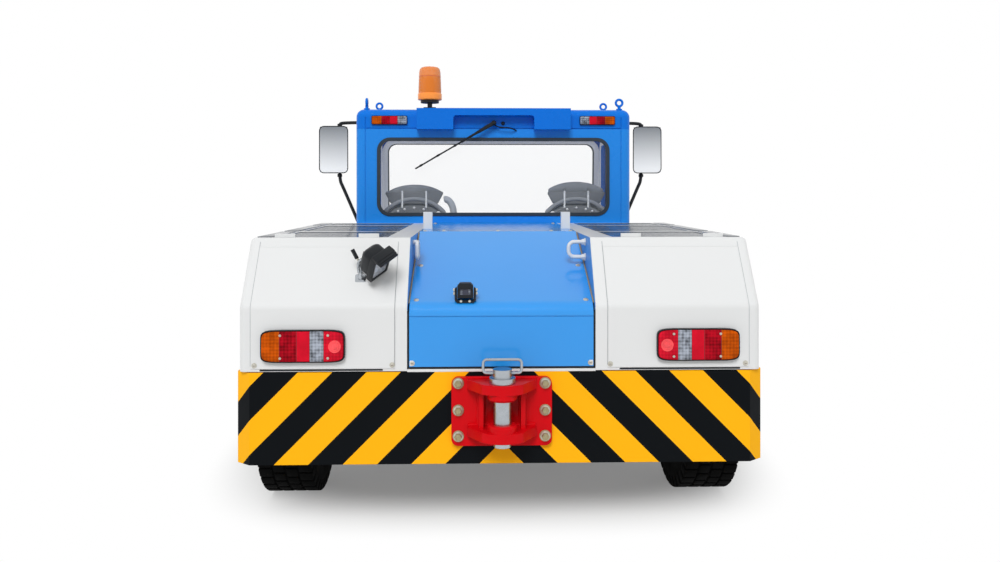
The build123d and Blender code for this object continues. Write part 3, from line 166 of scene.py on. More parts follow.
@dataclass(frozen=True)
class Finish:
    """A surface finish: its colour, its gloss and the fine relief that its making leaves.

    Lengths are in millimetres. mottle is how far the colour drifts, grain is the relief's size and
    depth, and edge is the width over which sharp folds catch the light.
    """

    name: str
    colour: str
    roughness: float = 0.4
    metallic: float = 0.0
    coat: float = 0.0
    mottle: float = 0.06
    mottle_size: float = 260.0
    grain_size: float = 3.0
    grain_depth: float = 0.01
    edge: float = 4.0
    specular: float = 0.5
    emission: float = 0.0

    def tones(self, tree: Tree, factor: Socket, ends: Pair, shades: Pair) -> Socket:
        """Spread the colour from a darker to a lighter shade over a pattern.

        Args:
            tree: The material's node tree.
            factor: The pattern's value.
            ends: The values where the shades are reached.
            shades: How strong the colour is at each end.

        Returns:
            The socket that carries the colour.
        """
        ramp = add_node(tree, "ValToRGB", {}, Fac=factor)
        for element, end, shade in zip(ramp.color_ramp.elements, ends, shades):
            element.position = end
            element.color = tuple(min(c * shade, 1.0) for c in linear(self.colour)[:3]) + (1.0,)
        return ramp.outputs["Color"]

    def colour_socket(self, tree: Tree, place: Socket) -> Socket:
        """Build the colour from Object coordinates: the base tone, drifting slightly over the piece."""
        drift = noise(tree, place, self.mottle_size, 5.0, 0.62)
        return self.tones(tree, drift, TONE_ENDS, (1 - self.mottle, 1 + self.mottle * 0.4))

    def roughness_socket(self, tree: Tree, place: Socket) -> Socket:
        """Build the roughness, a little uneven as handled surfaces are.

        Args:
            tree: The material's node tree.
            place: Object coordinates in metres.

        Returns:
            The socket that carries the roughness.
        """
        settings = {
            "in:From Min": TONE_ENDS[0], "in:From Max": TONE_ENDS[1],
            "in:To Min": self.roughness * (1 - WEAR_SPREAD), "in:To Max": self.roughness * (1 + WEAR_SPREAD),
        }
        return add_node(
            tree, "MapRange", settings, Value=noise(tree, place, WEAR_SIZE, 6.0)
        ).outputs["Result"]

    def height_socket(self, tree: Tree, place: Socket) -> Socket:
        """Build the fine relief from Object coordinates, such as the ripple of sprayed enamel."""
        return noise(tree, place, self.grain_size, 3.0)

    def surface(self, tree: Tree) -> Socket:
        """Build the shader from the colour, the roughness and the relief.

        Args:
            tree: The material's node tree.

        Returns:
            The socket that carries the surface.
        """
        place = add_node(tree, "TexCoord", {}).outputs["Object"]
        rounded = add_node(tree, "Bevel", {"samples": 6, "in:Radius": self.edge * MM})
        bump = add_node(
            tree, "Bump", {"in:Strength": 1.0, "in:Distance": self.grain_depth * MM},
            Height=self.height_socket(tree, place), Normal=rounded.outputs["Normal"],
        )
        shader = add_node(
            tree, "BsdfPrincipled",
            {"in:Metallic": self.metallic, "in:Coat Weight": self.coat, "in:Coat Roughness": 0.06,
             "in:Specular IOR Level": self.specular},
            Base_Color=self.colour_socket(tree, place), Roughness=self.roughness_socket(tree, place),
            Normal=bump.outputs["Normal"],
        )
        self.adjust(shader)
        return shader.outputs["BSDF"]

    def adjust(self, shader: bpy.types.Node) -> None:
        """Set what this kind of finish adds to the plain shader."""
        # The emission is the beacon's own light, and a painted glow on the tail lamps' reflector disc and on
        # the cab's pale trim.
        if self.emission:
            shader.inputs["Emission Color"].default_value = linear(self.colour)
            shader.inputs["Emission Strength"].default_value = self.emission

    def build(self) -> bpy.types.Material:
        """Make the material, once for each finish.

        Returns:
            The material, shared by every piece with this finish.
        """
        if self.name in bpy.data.materials:
            return bpy.data.materials[self.name]
        material = blank_material(self.name)
        tree = material.node_tree
        add_node(tree, "OutputMaterial", {}, Surface=self.surface(tree))
        return material


@dataclass(frozen=True)
class PanelEnamel(Finish):
    """Gloss enamel sprayed on large panels: wide, faint drifts of tone and a long, shallow ripple."""

    mottle: float = 0.03
    mottle_size: float = 500.0
    grain_size: float = 25.0
    grain_depth: float = 0.003


@dataclass(frozen=True)
class StripeEnamel(Finish):
    """Hazard stripes at 45 degrees that meet in a chevron at the middle.

    Lengths are in millimetres. first is where the first dark band starts, measured outwards plus upwards
    from the bumper's foot. Beyond flat the bumper folds back, and fold stretches the stripes there.
    """

    dark: str = "#0B0E11"
    band: float = 150.0
    first: float = 97.0
    foot: float = 332.0
    flat: float = 1102.0
    fold: float = 1.257

    def colour_socket(self, tree: Tree, place: Socket) -> Socket:
        """Build the two-colour stripes from the place across and up the bumper.

        Args:
            tree: The material's node tree.
            place: Object coordinates in metres.

        Returns:
            The socket that carries the colour.
        """
        axes = add_node(tree, "SeparateXYZ", {}, Vector=place)
        across = calc(tree, "ABSOLUTE", axes.outputs["X"])
        past = calc(tree, "SUBTRACT", across, self.flat * MM, clamp=True)
        around = calc(tree, "MULTIPLY_ADD", past, self.fold - 1, across)
        along = calc(tree, "ADD", around, axes.outputs["Z"])
        shifted = calc(tree, "SUBTRACT", along, (self.foot + self.first) * MM)
        part = calc(tree, "FRACT", calc(tree, "DIVIDE", shifted, 2 * self.band * MM))
        dark = calc(tree, "LESS_THAN", part, 0.5)
        light = super().colour_socket(tree, place)
        mix = add_node(tree, "Mix", {"data_type": "RGBA", "in:7": linear(self.dark)}, i0=dark, i6=light)
        return mix.outputs[2]


@dataclass(frozen=True)
class ClearGlass(Finish):
    """Thin window glass or a clear dome: partly see-through, with a sharp sky reflection."""

    see_through: float = 0.9

    def surface(self, tree: Tree) -> Socket:
        """Build the see-through shader.

        Args:
            tree: The material's node tree.

        Returns:
            The socket that carries the surface.
        """
        shader = add_node(
            tree, "BsdfPrincipled",
            {"in:Base Color": linear(self.colour), "in:Roughness": self.roughness, "in:IOR": 1.5,
             "in:Alpha": 1 - self.see_through, "in:Specular IOR Level": self.specular},
        )
        return shader.outputs["BSDF"]


@dataclass(frozen=True)
class PrismLens(Finish):
    """Moulded lamp plastic with rows of prisms behind a glossy face.

    pitch is in millimetres. Real prisms are about 3 mm wide: they are drawn coarser, so that they show.
    dark is how much painted shade darkens the prisms' feet, and how much painted highlight lightens their
    tips.
    """

    grain_depth: float = 0.5
    edge: float = 1.0
    pitch: float = 15.0
    dark: float = 0.6

    def colour_socket(self, tree: Tree, place: Socket) -> Socket:
        """Build the colour: painted highlight on the prisms' tips and painted shade in the rows between them,
        over a random drift.

        Args:
            tree: The material's node tree.
            place: Object coordinates in metres.

        Returns:
            The socket that carries the colour.
        """
        drift = noise(tree, place, self.mottle_size, 3.0)
        depth = calc(tree, "MULTIPLY_ADD", self.height_socket(tree, place), 0.3, drift)
        return self.tones(tree, depth, PRISM_SHADE_ENDS, (1 - self.dark, 1 + self.dark * 0.7))

    def height_socket(self, tree: Tree, place: Socket) -> Socket:
        """Build the pyramids from two crossed triangle waves.

        Args:
            tree: The material's node tree.
            place: Object coordinates in metres.

        Returns:
            The socket that carries the height.
        """
        axes = add_node(tree, "SeparateXYZ", {}, Vector=place)
        waves = [calc(tree, "PINGPONG", axes.outputs[name], self.pitch * MM / 2) for name in ("X", "Z")]
        return calc(tree, "DIVIDE", calc(tree, "ADD", *waves), self.pitch * MM)


@dataclass(frozen=True)
class WovenCloth(Finish):
    """Upholstery cloth: crossed yarns with a soft sheen.

    pitch is the yarn spacing in millimetres. Real yarns lie about 2.4 mm apart: they are drawn ten times
    coarser, so that they show.
    """

    mottle_size: float = 60.0
    specular: float = 0.2
    pitch: float = 24.0

    def height_socket(self, tree: Tree, place: Socket) -> Socket:
        """Build the weave from two crossed sets of rounded yarns.

        Args:
            tree: The material's node tree.
            place: Object coordinates in metres.

        Returns:
            The socket that carries the height.
        """
        settings = {"in:Scale": 100 * math.pi / self.pitch, "in:Distortion": 0.6, "in:Detail": 1.0}
        yarns = [
            add_node(tree, "TexWave", {"bands_direction": direction, **settings}, Vector=place).outputs["Fac"]
            for direction in ("X", "Z")
        ]
        return calc(tree, "MAXIMUM", *yarns)

    def adjust(self, shader: bpy.types.Node) -> None:
        """Add the cloth's sheen."""
        shader.inputs["Sheen Weight"].default_value = 0.35
        shader.inputs["Sheen Roughness"].default_value = 0.45


@dataclass(frozen=True)
class BrushedMetal(Finish):
    """Bare or plated metal with fine scratches along one direction. draw is how each one is stretched."""

    draw: Point = (1.0, 1.0, 0.06)

    def height_socket(self, tree: Tree, place: Socket) -> Socket:
        """Build the scratches from noise stretched along the brushing."""
        pulled = add_node(tree, "Mapping", {"in:Scale": self.draw}, Vector=place)
        return noise(tree, pulled.outputs["Vector"], self.grain_size, 4.0)


@dataclass(frozen=True)
class MirrorGlass(Finish):
    """Silvered glass with a painted reflection: pale at the foot, darker above. foot and head are heights in
    metres, and clear is the colour at the head.
    """

    foot: float = 1.70
    head: float = 2.04
    clear: str = "#7C8186"

    def colour_socket(self, tree: Tree, place: Socket) -> Socket:
        """Build the colour: a painted reflection, pale at the foot and darker upwards.

        Args:
            tree: The material's node tree.
            place: Object coordinates in metres.

        Returns:
            The socket that carries the colour.
        """
        axes = add_node(tree, "SeparateXYZ", {}, Vector=place)
        span = {"in:From Min": self.foot, "in:From Max": self.head}
        rise = add_node(tree, "MapRange", span, Value=axes.outputs["Z"])
        ramp = add_node(tree, "ValToRGB", {}, Fac=rise.outputs["Result"])
        for element, code in zip(ramp.color_ramp.elements, (self.colour, self.clear)):
            element.color = linear(code)
        return ramp.outputs["Color"]


class Paint:
    """The tractor's finishes, each named for what it is. The comments say what each gives the eye."""

    # Clean pale panels with a soft gloss.
    white = PanelEnamel("white_enamel", "#DDDEDE", 0.3, coat=0.12, mottle=0.012, mottle_size=700)
    # Deep cab blue that keeps its strength under a bright sky.
    blue = PanelEnamel("blue_enamel", "#0A71D8", 0.28, coat=0.06, specular=0.12)
    # The rear wall: the cab blue one step lighter than the roof above it, painted light where the wall is lit
    # more than the roof band.
    wall = PanelEnamel("wall_enamel", "#2287E3", 0.28, coat=0.08, specular=0.15)
    # Glossier blue that pales where the hood slopes to the sky.
    hood = PanelEnamel("hood_enamel", "#2592E4", 0.22, coat=0.25)
    # Flat warm yellow between near-black bands.
    stripes = StripeEnamel(
        "hazard_enamel", "#FDB514", 0.5, mottle=0.02, mottle_size=500, edge=3.0, specular=0.06
    )
    # Thick signal red with a slightly uneven coat.
    red = Finish(
        "red_enamel", "#D00914", 0.3, coat=0.06, mottle=0.07, mottle_size=90, grain_size=4, grain_depth=0.03,
        specular=0.06,
    )
    # Dull black-grey that hides in the shade underneath.
    frame = Finish("black_chassis_enamel", "#1D1F21", 0.5, mottle=0.25, mottle_size=160, grain_depth=0.05)
    # Dark slats whose tops shine at a low angle.
    deck = Finish("grey_deck_enamel", "#434B54", 0.26, coat=0.3, mottle=0.12, mottle_size=120, edge=2.0)
    # Bright turned metal with fine marks.
    steel = BrushedMetal(
        "machined_steel", "#B4B9BE", 0.28, metallic=1.0, mottle=0.15, mottle_size=40, grain_size=0.8
    )
    # Pale grey plating with a warm cast.
    zinc = BrushedMetal("zinc_plate", "#C9C6BA", 0.34, metallic=0.6, mottle=0.2, mottle_size=12, edge=1.5)
    # Straw-coloured bolt heads against the red.
    bolt = BrushedMetal("yellow_zinc", "#A79C79", 0.36, metallic=0.7, mottle=0.25, mottle_size=9, edge=1.5)
    # Rough, dark castings.
    iron = Finish("cast_iron", "#2B2C2E", 0.62, mottle=0.3, mottle_size=70, grain_size=6, grain_depth=0.25)
    # Light grey rims, a little dirty.
    wheel = Finish("wheel_enamel", "#C9CBCC", 0.36, coat=0.2, mottle=0.12, mottle_size=110, grain_depth=0.03)
    # Matt black that shows its tread by shadow alone.
    tyre = Finish(
        "tyre_rubber", "#090909", 0.9, mottle=0.3, mottle_size=70, grain_size=2, grain_depth=0.05,
        specular=0.05
    )
    # Blue-black rubber round the glass.
    seal = Finish(
        "window_rubber", "#27313B", 0.6, mottle=0.12, mottle_size=50, grain_size=1.5, grain_depth=0.05
    )
    # Black moulded plastic with a faint shine.
    black = Finish(
        "black_abs", "#101419", 0.42, mottle=0.15, mottle_size=60, grain_size=1.2, grain_depth=0.03, edge=2.0,
        specular=0.3,
    )
    # Mid-grey moulded plastic with a fine grain.
    grey = Finish("grey_abs", "#5A5E63", 0.55, mottle=0.12, mottle_size=90, grain_size=1.4, grain_depth=0.08)
    # Deep orange lens with its prisms just showing.
    amber = PrismLens("amber_acrylic", "#C05006", 0.25, mottle_size=45, specular=0.05, dark=0.4)
    # Dark red lens, with painted shade that turns it almost brown between the prisms.
    red_lens = PrismLens("red_acrylic", "#A00A1C", 0.25, mottle_size=40, specular=0.05, dark=0.55)
    # Silvery lens, broken up by its prisms.
    clear = PrismLens(
        "clear_acrylic", "#8D939E", 0.22, mottle_size=30, specular=0.12, grain_depth=0.6, dark=0.75
    )
    # Bright lamp glass with soft flutes.
    lamp_glass = PrismLens("fluted_glass", "#C4C9D1", 0.14, coat=0.4, mottle_size=70, dark=0.3)
    # A grey line where two white panels meet: painted shadow in the joint.
    seam = Finish("seam_shadow", "#B2B5B8", 0.7, mottle=0.05, edge=1.0, specular=0.1)
    # Nearly invisible panes.
    glass = ClearGlass("window_glass", "#D9E2E8", 0.03, specular=0.4, see_through=0.97)
    # A pale mirror with a painted reflection that darkens upwards.
    mirror = MirrorGlass("mirror_glass", "#F4F6F7", 0.06, metallic=0.2, grain_depth=0.0, edge=1.0)
    # Soft grey seat covers.
    cloth = WovenCloth("seat_cloth", "#7C8085", 0.85, mottle=0.12, grain_depth=0.3, edge=1.0)
    # Smooth bright red between the prismed lenses.
    plain_red = Finish(
        "plain_red_lens", "#D4122B", 0.2, coat=0.03, mottle=0.2, mottle_size=60, grain_depth=0.0, edge=1.0,
        specular=0.05,
    )
    # Lighter red round the reflector.
    red_glow = PrismLens(
        "red_reflector_lens", "#CC162C", 0.2, mottle_size=60, grain_depth=0.4, specular=0.05, dark=0.3
    )
    # The reflector's disc, with a painted glow: it gives off light though it is no lamp.
    red_reflex = Finish(
        "red_reflex", "#F2464C", 0.2, coat=0.2, mottle=0.25, mottle_size=30, grain_depth=0.0, edge=1.0,
        emission=0.12,
    )
    # Dark lines between the lenses, and painted shade for the slots in screws.
    lens_seam = Finish("lens_seam", "#4A0B0D", 0.3, mottle=0.1, edge=1.0)
    # The beacon's opaque ring, a clear warm orange.
    beacon_base = Finish(
        "amber_moulding", "#F28E33", 0.3, coat=0.3, mottle=0.04, grain_depth=0.02, emission=0.12
    )
    # A tinted dome that lets its core show.
    beacon_dome = ClearGlass("amber_dome", "#F0862A", 0.08, specular=0.3, see_through=0.25)
    # Darker bands and bowl inside the dome.
    beacon_core = Finish(
        "amber_reflector", "#C2520A", 0.3, coat=0.4, mottle=0.2, mottle_size=20, emission=0.15
    )
    # A plain grey mass low in the frame.
    battery = Finish("battery_steel", "#55595C", 0.5, mottle=0.2, mottle_size=120)
    # Lighter blue plates beside the hood's slope: a painted reflection of the blue hood on the pods' white
    # inner walls.
    lining = Finish("lining_enamel", "#3E86CF", 0.4, coat=0.2, mottle=0.06, grain_depth=0.03)
    # A thin tan bead along the hood.
    tan_seal = Finish(
        "tan_sealant", "#A39276", 0.7, mottle=0.15, mottle_size=40, grain_size=2, grain_depth=0.1
    )
    # Welts a touch lighter than the covers.
    welt = WovenCloth("welt_cloth", "#8B8F95", 0.8, mottle=0.08, grain_depth=0.2, edge=1.0)
    # The pale armrest.
    light_cloth = WovenCloth("light_cloth", "#B4B8BD", 0.85, mottle=0.1, grain_depth=0.3)
    # Thin bright posts and dial rims.
    chrome = BrushedMetal(
        "satin_chrome", "#D3D7DB", 0.26, metallic=0.4, mottle=0.08, mottle_size=30, edge=1.0
    )
    # Matt grey seat shells and frames.
    shell = Finish(
        "seat_shell", "#6C6F73", 0.55, mottle=0.06, mottle_size=90, grain_size=1.4, grain_depth=0.08
    )
    # Pale trim that glows: painted light that keeps it pale in the cab's shade.
    headliner = Finish(
        "pale_headliner", "#DADCDE", 0.7, mottle=0.02, grain_size=2, grain_depth=0.02, emission=0.25
    )
    # Glossy near-black windows over the camera and the dials.
    screen = Finish("dark_acrylic", "#0A1230", 0.08, coat=0.6, mottle=0.05, grain_depth=0.0, edge=1.0)


WHEELS = tuple(f"{end}_{side}" for end in ("rear", "front") for side in ("right", "left"))
NODE_FINISHES: tuple[tuple[Finish, str], ...] = (
    (Paint.frame, "frame cab_floor side_steps"),
    (Paint.white, "hood_sills rear_pods front_pods pod_panels deck_fittings"),
    (Paint.battery, "battery_block"),
    (Paint.stripes, "rear_bumper front_bumper"),
    (Paint.red, "rear_hitch front_hitch"),
    (Paint.steel, "tow_pin"),
    (Paint.iron, "rear_axle front_axle knuckle_right knuckle_left"),
    (Paint.deck, "deck_grilles"),
    (Paint.hood, "hood_cover hood_rear_panel front_hood"),
    (Paint.blue, "cab_roof cab_front door_right door_left roof_header lifting_eyes"),
    (Paint.wall, "cab_rear_wall"),
    (Paint.glass, "cab_glass door_glass_right door_glass_left"),
    (Paint.seal, "window_seals"),
    (Paint.black, "door_handle_right door_handle_left beacon_mount mirrors rear_wiper work_lamp"),
    (Paint.black, "rear_camera steering_column"),
    (Paint.red_lens, "roof_lamps tail_lamps"),
    (Paint.amber, "beacon_lens"),
    (Paint.clear, "headlamps"),
    (Paint.shell, "seat_frames"),
    (Paint.cloth, "seat_cushions seat_backs headrests"),
    (Paint.grey, "dashboard"),
    (Paint.tyre, " ".join(f"tyre_{wheel}" for wheel in WHEELS)),
    (Paint.wheel, " ".join(f"rim_{wheel}" for wheel in WHEELS)),
)


class Axis(Enum):
    """The three directions of the shared frame."""

    X = (1.0, 0.0, 0.0)
    Y = (0.0, 1.0, 0.0)
    Z = (0.0, 0.0, 1.0)

    @property
    def index(self) -> int:
        """Place of this direction in a point."""
        return "XYZ".index(self.name)


MIRROR = Matrix.Scale(-1, 4, Axis.X.value)


def shift(spot: Point) -> Matrix:
    """Make the move to a spot given in millimetres."""
    return Matrix.Translation([value * MM for value in spot])


class Bench:
    """Modelling steps that the sub-assemblies share, each done with Blender's own operators."""

    @staticmethod
    def clear() -> None:
        """Leave edit mode and deselect everything."""
        if bpy.context.object is not None and bpy.context.object.mode != "OBJECT":
            bpy.ops.object.mode_set(mode="OBJECT")
        bpy.ops.object.select_all(action="DESELECT")

    @staticmethod
    def activate(*pieces: Piece) -> None:
        """Select only these pieces, with the first one active.

        Args:
            *pieces: The objects to select.
        """
        Bench.clear()
        for piece in pieces:
            piece.select_set(True)
        bpy.context.view_layer.objects.active = pieces[0]

    @staticmethod
    def settle(name: str) -> Piece:
        """Name the active object and put its place, turn and scale into its mesh.

        Args:
            name: The piece's name.

        Returns:
            The named object, at the origin.
        """
        piece = bpy.context.object
        piece.name = name
        bpy.ops.object.transform_apply(location=True, rotation=True, scale=True)
        return piece

    @staticmethod
    def edit_edges(piece: Piece, axis: Axis) -> None:
        """Enter edit mode with the edges that run along one direction selected.

        Args:
            piece: The object to edit.
            axis: The direction of the edges.
        """
        Bench.activate(piece)
        bpy.ops.object.mode_set(mode="EDIT")
        bpy.ops.mesh.select_mode(type="EDGE")
        bpy.ops.mesh.select_all(action="DESELECT")
        bpy.ops.object.mode_set(mode="OBJECT")
        points = piece.data.vertices
        for edge in piece.data.edges:
            run = (points[edge.vertices[1]].co - points[edge.vertices[0]].co).normalized()
            edge.select = abs(run[axis.index]) > 0.99
        bpy.ops.object.mode_set(mode="EDIT")

    @staticmethod
    def edit_faces(piece: Piece, axis: Axis, sign: int) -> None:
        """Enter edit mode with the outermost faces towards one direction selected.

        Args:
            piece: The object to edit.
            axis: The direction the faces look along.
            sign: 1 for the high side, -1 for the low side.
        """
        Bench.activate(piece)
        bpy.ops.object.mode_set(mode="EDIT")
        bpy.ops.mesh.select_mode(type="FACE")
        bpy.ops.mesh.select_all(action="DESELECT")
        bpy.ops.object.mode_set(mode="OBJECT")
        faces = [face for face in piece.data.polygons if face.normal[axis.index] * sign > 0.99]
        reach = max(face.center[axis.index] * sign for face in faces)
        for face in faces:
            face.select = face.center[axis.index] * sign > reach - 1e-5
        bpy.ops.object.mode_set(mode="EDIT")

    @staticmethod
    def recess(piece: Piece, border: float, depth: float) -> None:
        """Sink the middle of a piece's rear face.

        Args:
            piece: The object to edit.
            border: Width of the rim that stays, in millimetres.
            depth: How far the middle sinks, in millimetres.
        """
        Bench.edit_faces(piece, Axis.Y, -1)
        bpy.ops.mesh.inset(thickness=border * MM, depth=0)
        bpy.ops.mesh.extrude_region_move(TRANSFORM_OT_translate={"value": (0, depth * MM, 0)})
        bpy.ops.object.mode_set(mode="OBJECT")

    @staticmethod
    def soften(piece: Piece, width: float, segments: int = 2) -> Piece:
        """Round the sharp edges with an applied bevel, and smooth the shading.

        Args:
            piece: The object to soften.
            width: The bevel's width in millimetres.
            segments: Steps round each edge.

        Returns:
            The same object.
        """
        Bench.activate(piece)
        bevel = piece.modifiers.new("edges", "BEVEL")
        bevel.width = width * MM
        bevel.segments = segments
        bevel.limit_method = "ANGLE"
        bevel.angle_limit = SHARP_FOLD
        bpy.ops.object.modifier_apply(modifier=bevel.name)
        bpy.ops.object.shade_smooth_by_angle(angle=SMOOTH_BLOCK)
        return piece

    @staticmethod
    def slab(
        name: str, low: Point, high: Point, axis: Axis = Axis.Y, corner: float = 0.0, edge: float = 1.5,
        steps: int = 6,
    ) -> Piece:
        """Model a plate or block with rounded corners round one direction and softened edges.

        Args:
            name: The piece's name.
            low: Lowest corner in millimetres.
            high: Highest corner in millimetres.
            axis: The direction that the corners are rounded about.
            corner: Corner radius in millimetres.
            edge: Bevel of the remaining edges in millimetres, or 0 for none.
            steps: Steps round each corner.

        Returns:
            The finished object.
        """
        Bench.clear()
        middle = [(a + b) / 2 * MM for a, b in zip(low, high)]
        bpy.ops.mesh.primitive_cube_add(
            size=1, location=middle, scale=[(b - a) * MM for a, b in zip(low, high)]
        )
        piece = Bench.settle(name)
        if corner:
            Bench.edit_edges(piece, axis)
            bpy.ops.mesh.bevel(offset=corner * MM, segments=steps, affect="EDGES")
            bpy.ops.object.mode_set(mode="OBJECT")
        return Bench.soften(piece, edge) if edge else piece

    @staticmethod
    def trace(spots: list[Vector]) -> None:
        """Draw a line in edit mode: the active plane shrinks to a point that is extruded from spot to spot.

        Args:
            spots: The line's points in metres. All of the line is left selected.
        """
        bpy.ops.object.mode_set(mode="EDIT")
        bpy.ops.mesh.select_mode(type="VERT")
        bpy.ops.mesh.select_all(action="SELECT")
        bpy.ops.mesh.merge(type="CENTER")
        bpy.ops.transform.translate(value=spots[0])
        for before, after in zip(spots, spots[1:]):
            bpy.ops.mesh.extrude_region_move(TRANSFORM_OT_translate={"value": after - before})
        bpy.ops.mesh.select_all(action="SELECT")

    @staticmethod
    def prism(
        name: str, outline: list[Pair], axis: Axis, low: float, high: float, edge: float = 1.0,
        segments: int = 2
    ) -> Piece:
        """Model a plate of any outline: the outline is drawn, filled and extruded along one direction.

        Args:
            name: The piece's name.
            outline: The corners in millimetres, on the two other directions in their usual order.
            axis: The direction of the plate's thickness.
            low: Where the plate starts along it, in millimetres.
            high: Where it ends.
            edge: Bevel of the edges in millimetres, or 0 for none.
            segments: Steps round each edge.

        Returns:
            The finished object.
        """
        Bench.clear()
        bpy.ops.mesh.primitive_plane_add(size=MM)
        spots = []
        for first, second in outline:
            spot = [first * MM, second * MM]
            spot.insert(axis.index, low * MM)
            spots.append(Vector(spot))
        Bench.trace(spots)
        bpy.ops.mesh.edge_face_add()
        bpy.ops.mesh.extrude_region_move(
            TRANSFORM_OT_translate={"value": Vector(axis.value) * (high - low) * MM}
        )
        bpy.ops.mesh.select_all(action="SELECT")
        bpy.ops.mesh.normals_make_consistent(inside=False)
        bpy.ops.object.mode_set(mode="OBJECT")
        piece = Bench.settle(name)
        return Bench.soften(piece, edge, segments) if edge else piece

    @staticmethod
    def ring(
        name: str, low: Point, high: Point, axis: Axis, corner: float, border: float, edge: float = 1.0
    ) -> Piece:
        """Model a frame: a plate with rounded corners is inset, opened in its middle and given its thickness.

        Args:
            name: The piece's name.
            low: Lowest corner in millimetres.
            high: Highest corner in millimetres.
            axis: The direction of the frame's thickness.
            corner: Radius of the outer corners in millimetres.
            border: Width of the frame's bars in millimetres.
            edge: Bevel of the edges in millimetres.

        Returns:
            The finished object.
        """
        Bench.clear()
        spans = [(b - a) * MM for a, b in zip(low, high)]
        thick = spans.pop(axis.index)
        turns = {Axis.X: (math.pi / 2, 0, math.pi / 2), Axis.Y: (math.pi / 2, 0, 0), Axis.Z: (0, 0, 0)}
        middle = [(a + b) / 2 * MM for a, b in zip(low, high)]
        bpy.ops.mesh.primitive_plane_add(size=1, location=middle, rotation=turns[axis])
        bpy.context.object.scale = (*spans, 1)
        piece = Bench.settle(name)
        bpy.ops.object.mode_set(mode="EDIT")
        bpy.ops.mesh.select_all(action="SELECT")
        bpy.ops.mesh.bevel(offset=corner * MM, segments=8, affect="VERTICES")
        bpy.ops.mesh.select_mode(type="FACE")
        bpy.ops.mesh.select_all(action="SELECT")
        bpy.ops.mesh.inset(thickness=border * MM, depth=0)
        bpy.ops.mesh.delete(type="FACE")
        bpy.ops.object.mode_set(mode="OBJECT")
        wall = piece.modifiers.new("wall", "SOLIDIFY")
        wall.thickness = thick
        wall.offset = 0
        bpy.ops.object.modifier_apply(modifier=wall.name)
        return Bench.soften(piece, edge)

    @staticmethod
    def lathe(name: str, profile: list[Pair], axis: Axis, at: Point, steps: int = 32) -> Piece:
        """Model a turned piece by spinning a profile, extruded point by point, about one direction.

        Args:
            name: The piece's name.
            profile: Radius and height pairs in millimetres, from one end to the other.
            axis: The direction of the turning axis.
            at: A point on the axis in millimetres, from which the heights count.
            steps: Steps round the axis.

        Returns:
            The finished object.
        """
        Bench.clear()
        bpy.ops.mesh.primitive_plane_add(size=MM)
        piece = bpy.context.object
        across = Axis.Y if axis is Axis.X else Axis.X
        Bench.trace([Vector(across.value) * r * MM + Vector(axis.value) * h * MM for r, h in profile])
        bpy.ops.mesh.spin(steps=steps, angle=2 * math.pi, center=(0, 0, 0), axis=axis.value)
        bpy.ops.mesh.select_all(action="SELECT")
        bpy.ops.mesh.remove_doubles(threshold=1e-5)
        bpy.ops.mesh.normals_make_consistent(inside=False)
        bpy.ops.object.mode_set(mode="OBJECT")
        piece.location = [value * MM for value in at]
        piece = Bench.settle(name)
        bpy.ops.object.shade_smooth_by_angle(angle=SMOOTH_TURNED)
        return piece

    @staticmethod
    def tube(name: str, points: list[Point], radius: float, steps: int = 8, smooth: bool = True) -> Piece:
        """Model a bent rod, hose or bead along points.

        Args:
            name: The piece's name.
            points: The route in millimetres.
            radius: The rod's radius in millimetres.
            steps: Steps along each run, and round the rod.
            smooth: True for a flowing line, False for straight runs.

        Returns:
            The finished object.
        """
        Bench.clear()
        bpy.ops.curve.primitive_nurbs_path_add()
        route = bpy.context.object
        spline = route.data.splines[0]
        spline.points.add(max(0, len(points) - len(spline.points)))
        if len(points) < len(spline.points):
            route.data.splines.remove(spline)
            spline = route.data.splines.new("NURBS")
            spline.points.add(len(points) - 1)
        for spot, point in zip(spline.points, points):
            spot.co = (*[value * MM for value in point], 1.0)
        spline.order_u = 3 if smooth and len(points) > 2 else 2
        spline.use_endpoint_u = True
        route.data.resolution_u = steps
        route.data.bevel_depth = radius * MM
        route.data.bevel_resolution = max(2, steps // 2)
        route.data.use_fill_caps = True
        bpy.ops.object.convert(target="MESH")
        piece = Bench.settle(name)
        bpy.ops.object.shade_smooth_by_angle(angle=SMOOTH_BENT)
        return piece

    @staticmethod
    def copy(piece: Piece, name: str, move: Matrix) -> Piece:
        """Copy a piece, with a mesh of its own, to another place.

        Args:
            piece: The modelled original.
            name: The copy's name.
            move: Where the copy goes from the original's place, in metres. A mirroring move is put right.

        Returns:
            The copy.
        """
        twin = bpy.data.objects.new(name, piece.data.copy())
        bpy.context.collection.objects.link(twin)
        twin.data.transform(move)
        if move.determinant() < 0:
            twin.data.flip_normals()
        return twin

    @staticmethod
    def spread(piece: Piece, spots: list[Point], name: str) -> Piece:
        """Put a copy of a piece at each spot, join them all into one object, and drop the original.

        Args:
            piece: The original, modelled round the origin.
            spots: The places in millimetres.
            name: The joined object's name.

        Returns:
            The joined object.
        """
        copies = [
            Bench.copy(piece, f"{name}_{i}", shift(spot))
            for i, spot in enumerate(spots)
        ]
        Bench.discard(piece)
        return Bench.join(copies, name)

    @staticmethod
    def discard(*pieces: Piece) -> None:
        """Delete originals that only served for copies."""
        for piece in pieces:
            bpy.data.objects.remove(piece, do_unlink=True)

    @staticmethod
    def join(pieces: list[Piece], name: str) -> Piece:
        """Join pieces into one object that keeps each one's material.

        Args:
            pieces: The objects to join.
            name: The joined object's name.

        Returns:
            The joined object.
        """
        Bench.activate(*pieces)
        if len(pieces) > 1:
            bpy.ops.object.join()
        pieces[0].name = name
        return pieces[0]

    @staticmethod
    def paint(piece: Piece, finish: Finish) -> Piece:
        """Give a whole piece one finish, and return it."""
        piece.data.materials.clear()
        piece.data.materials.append(finish.build())
        return piece

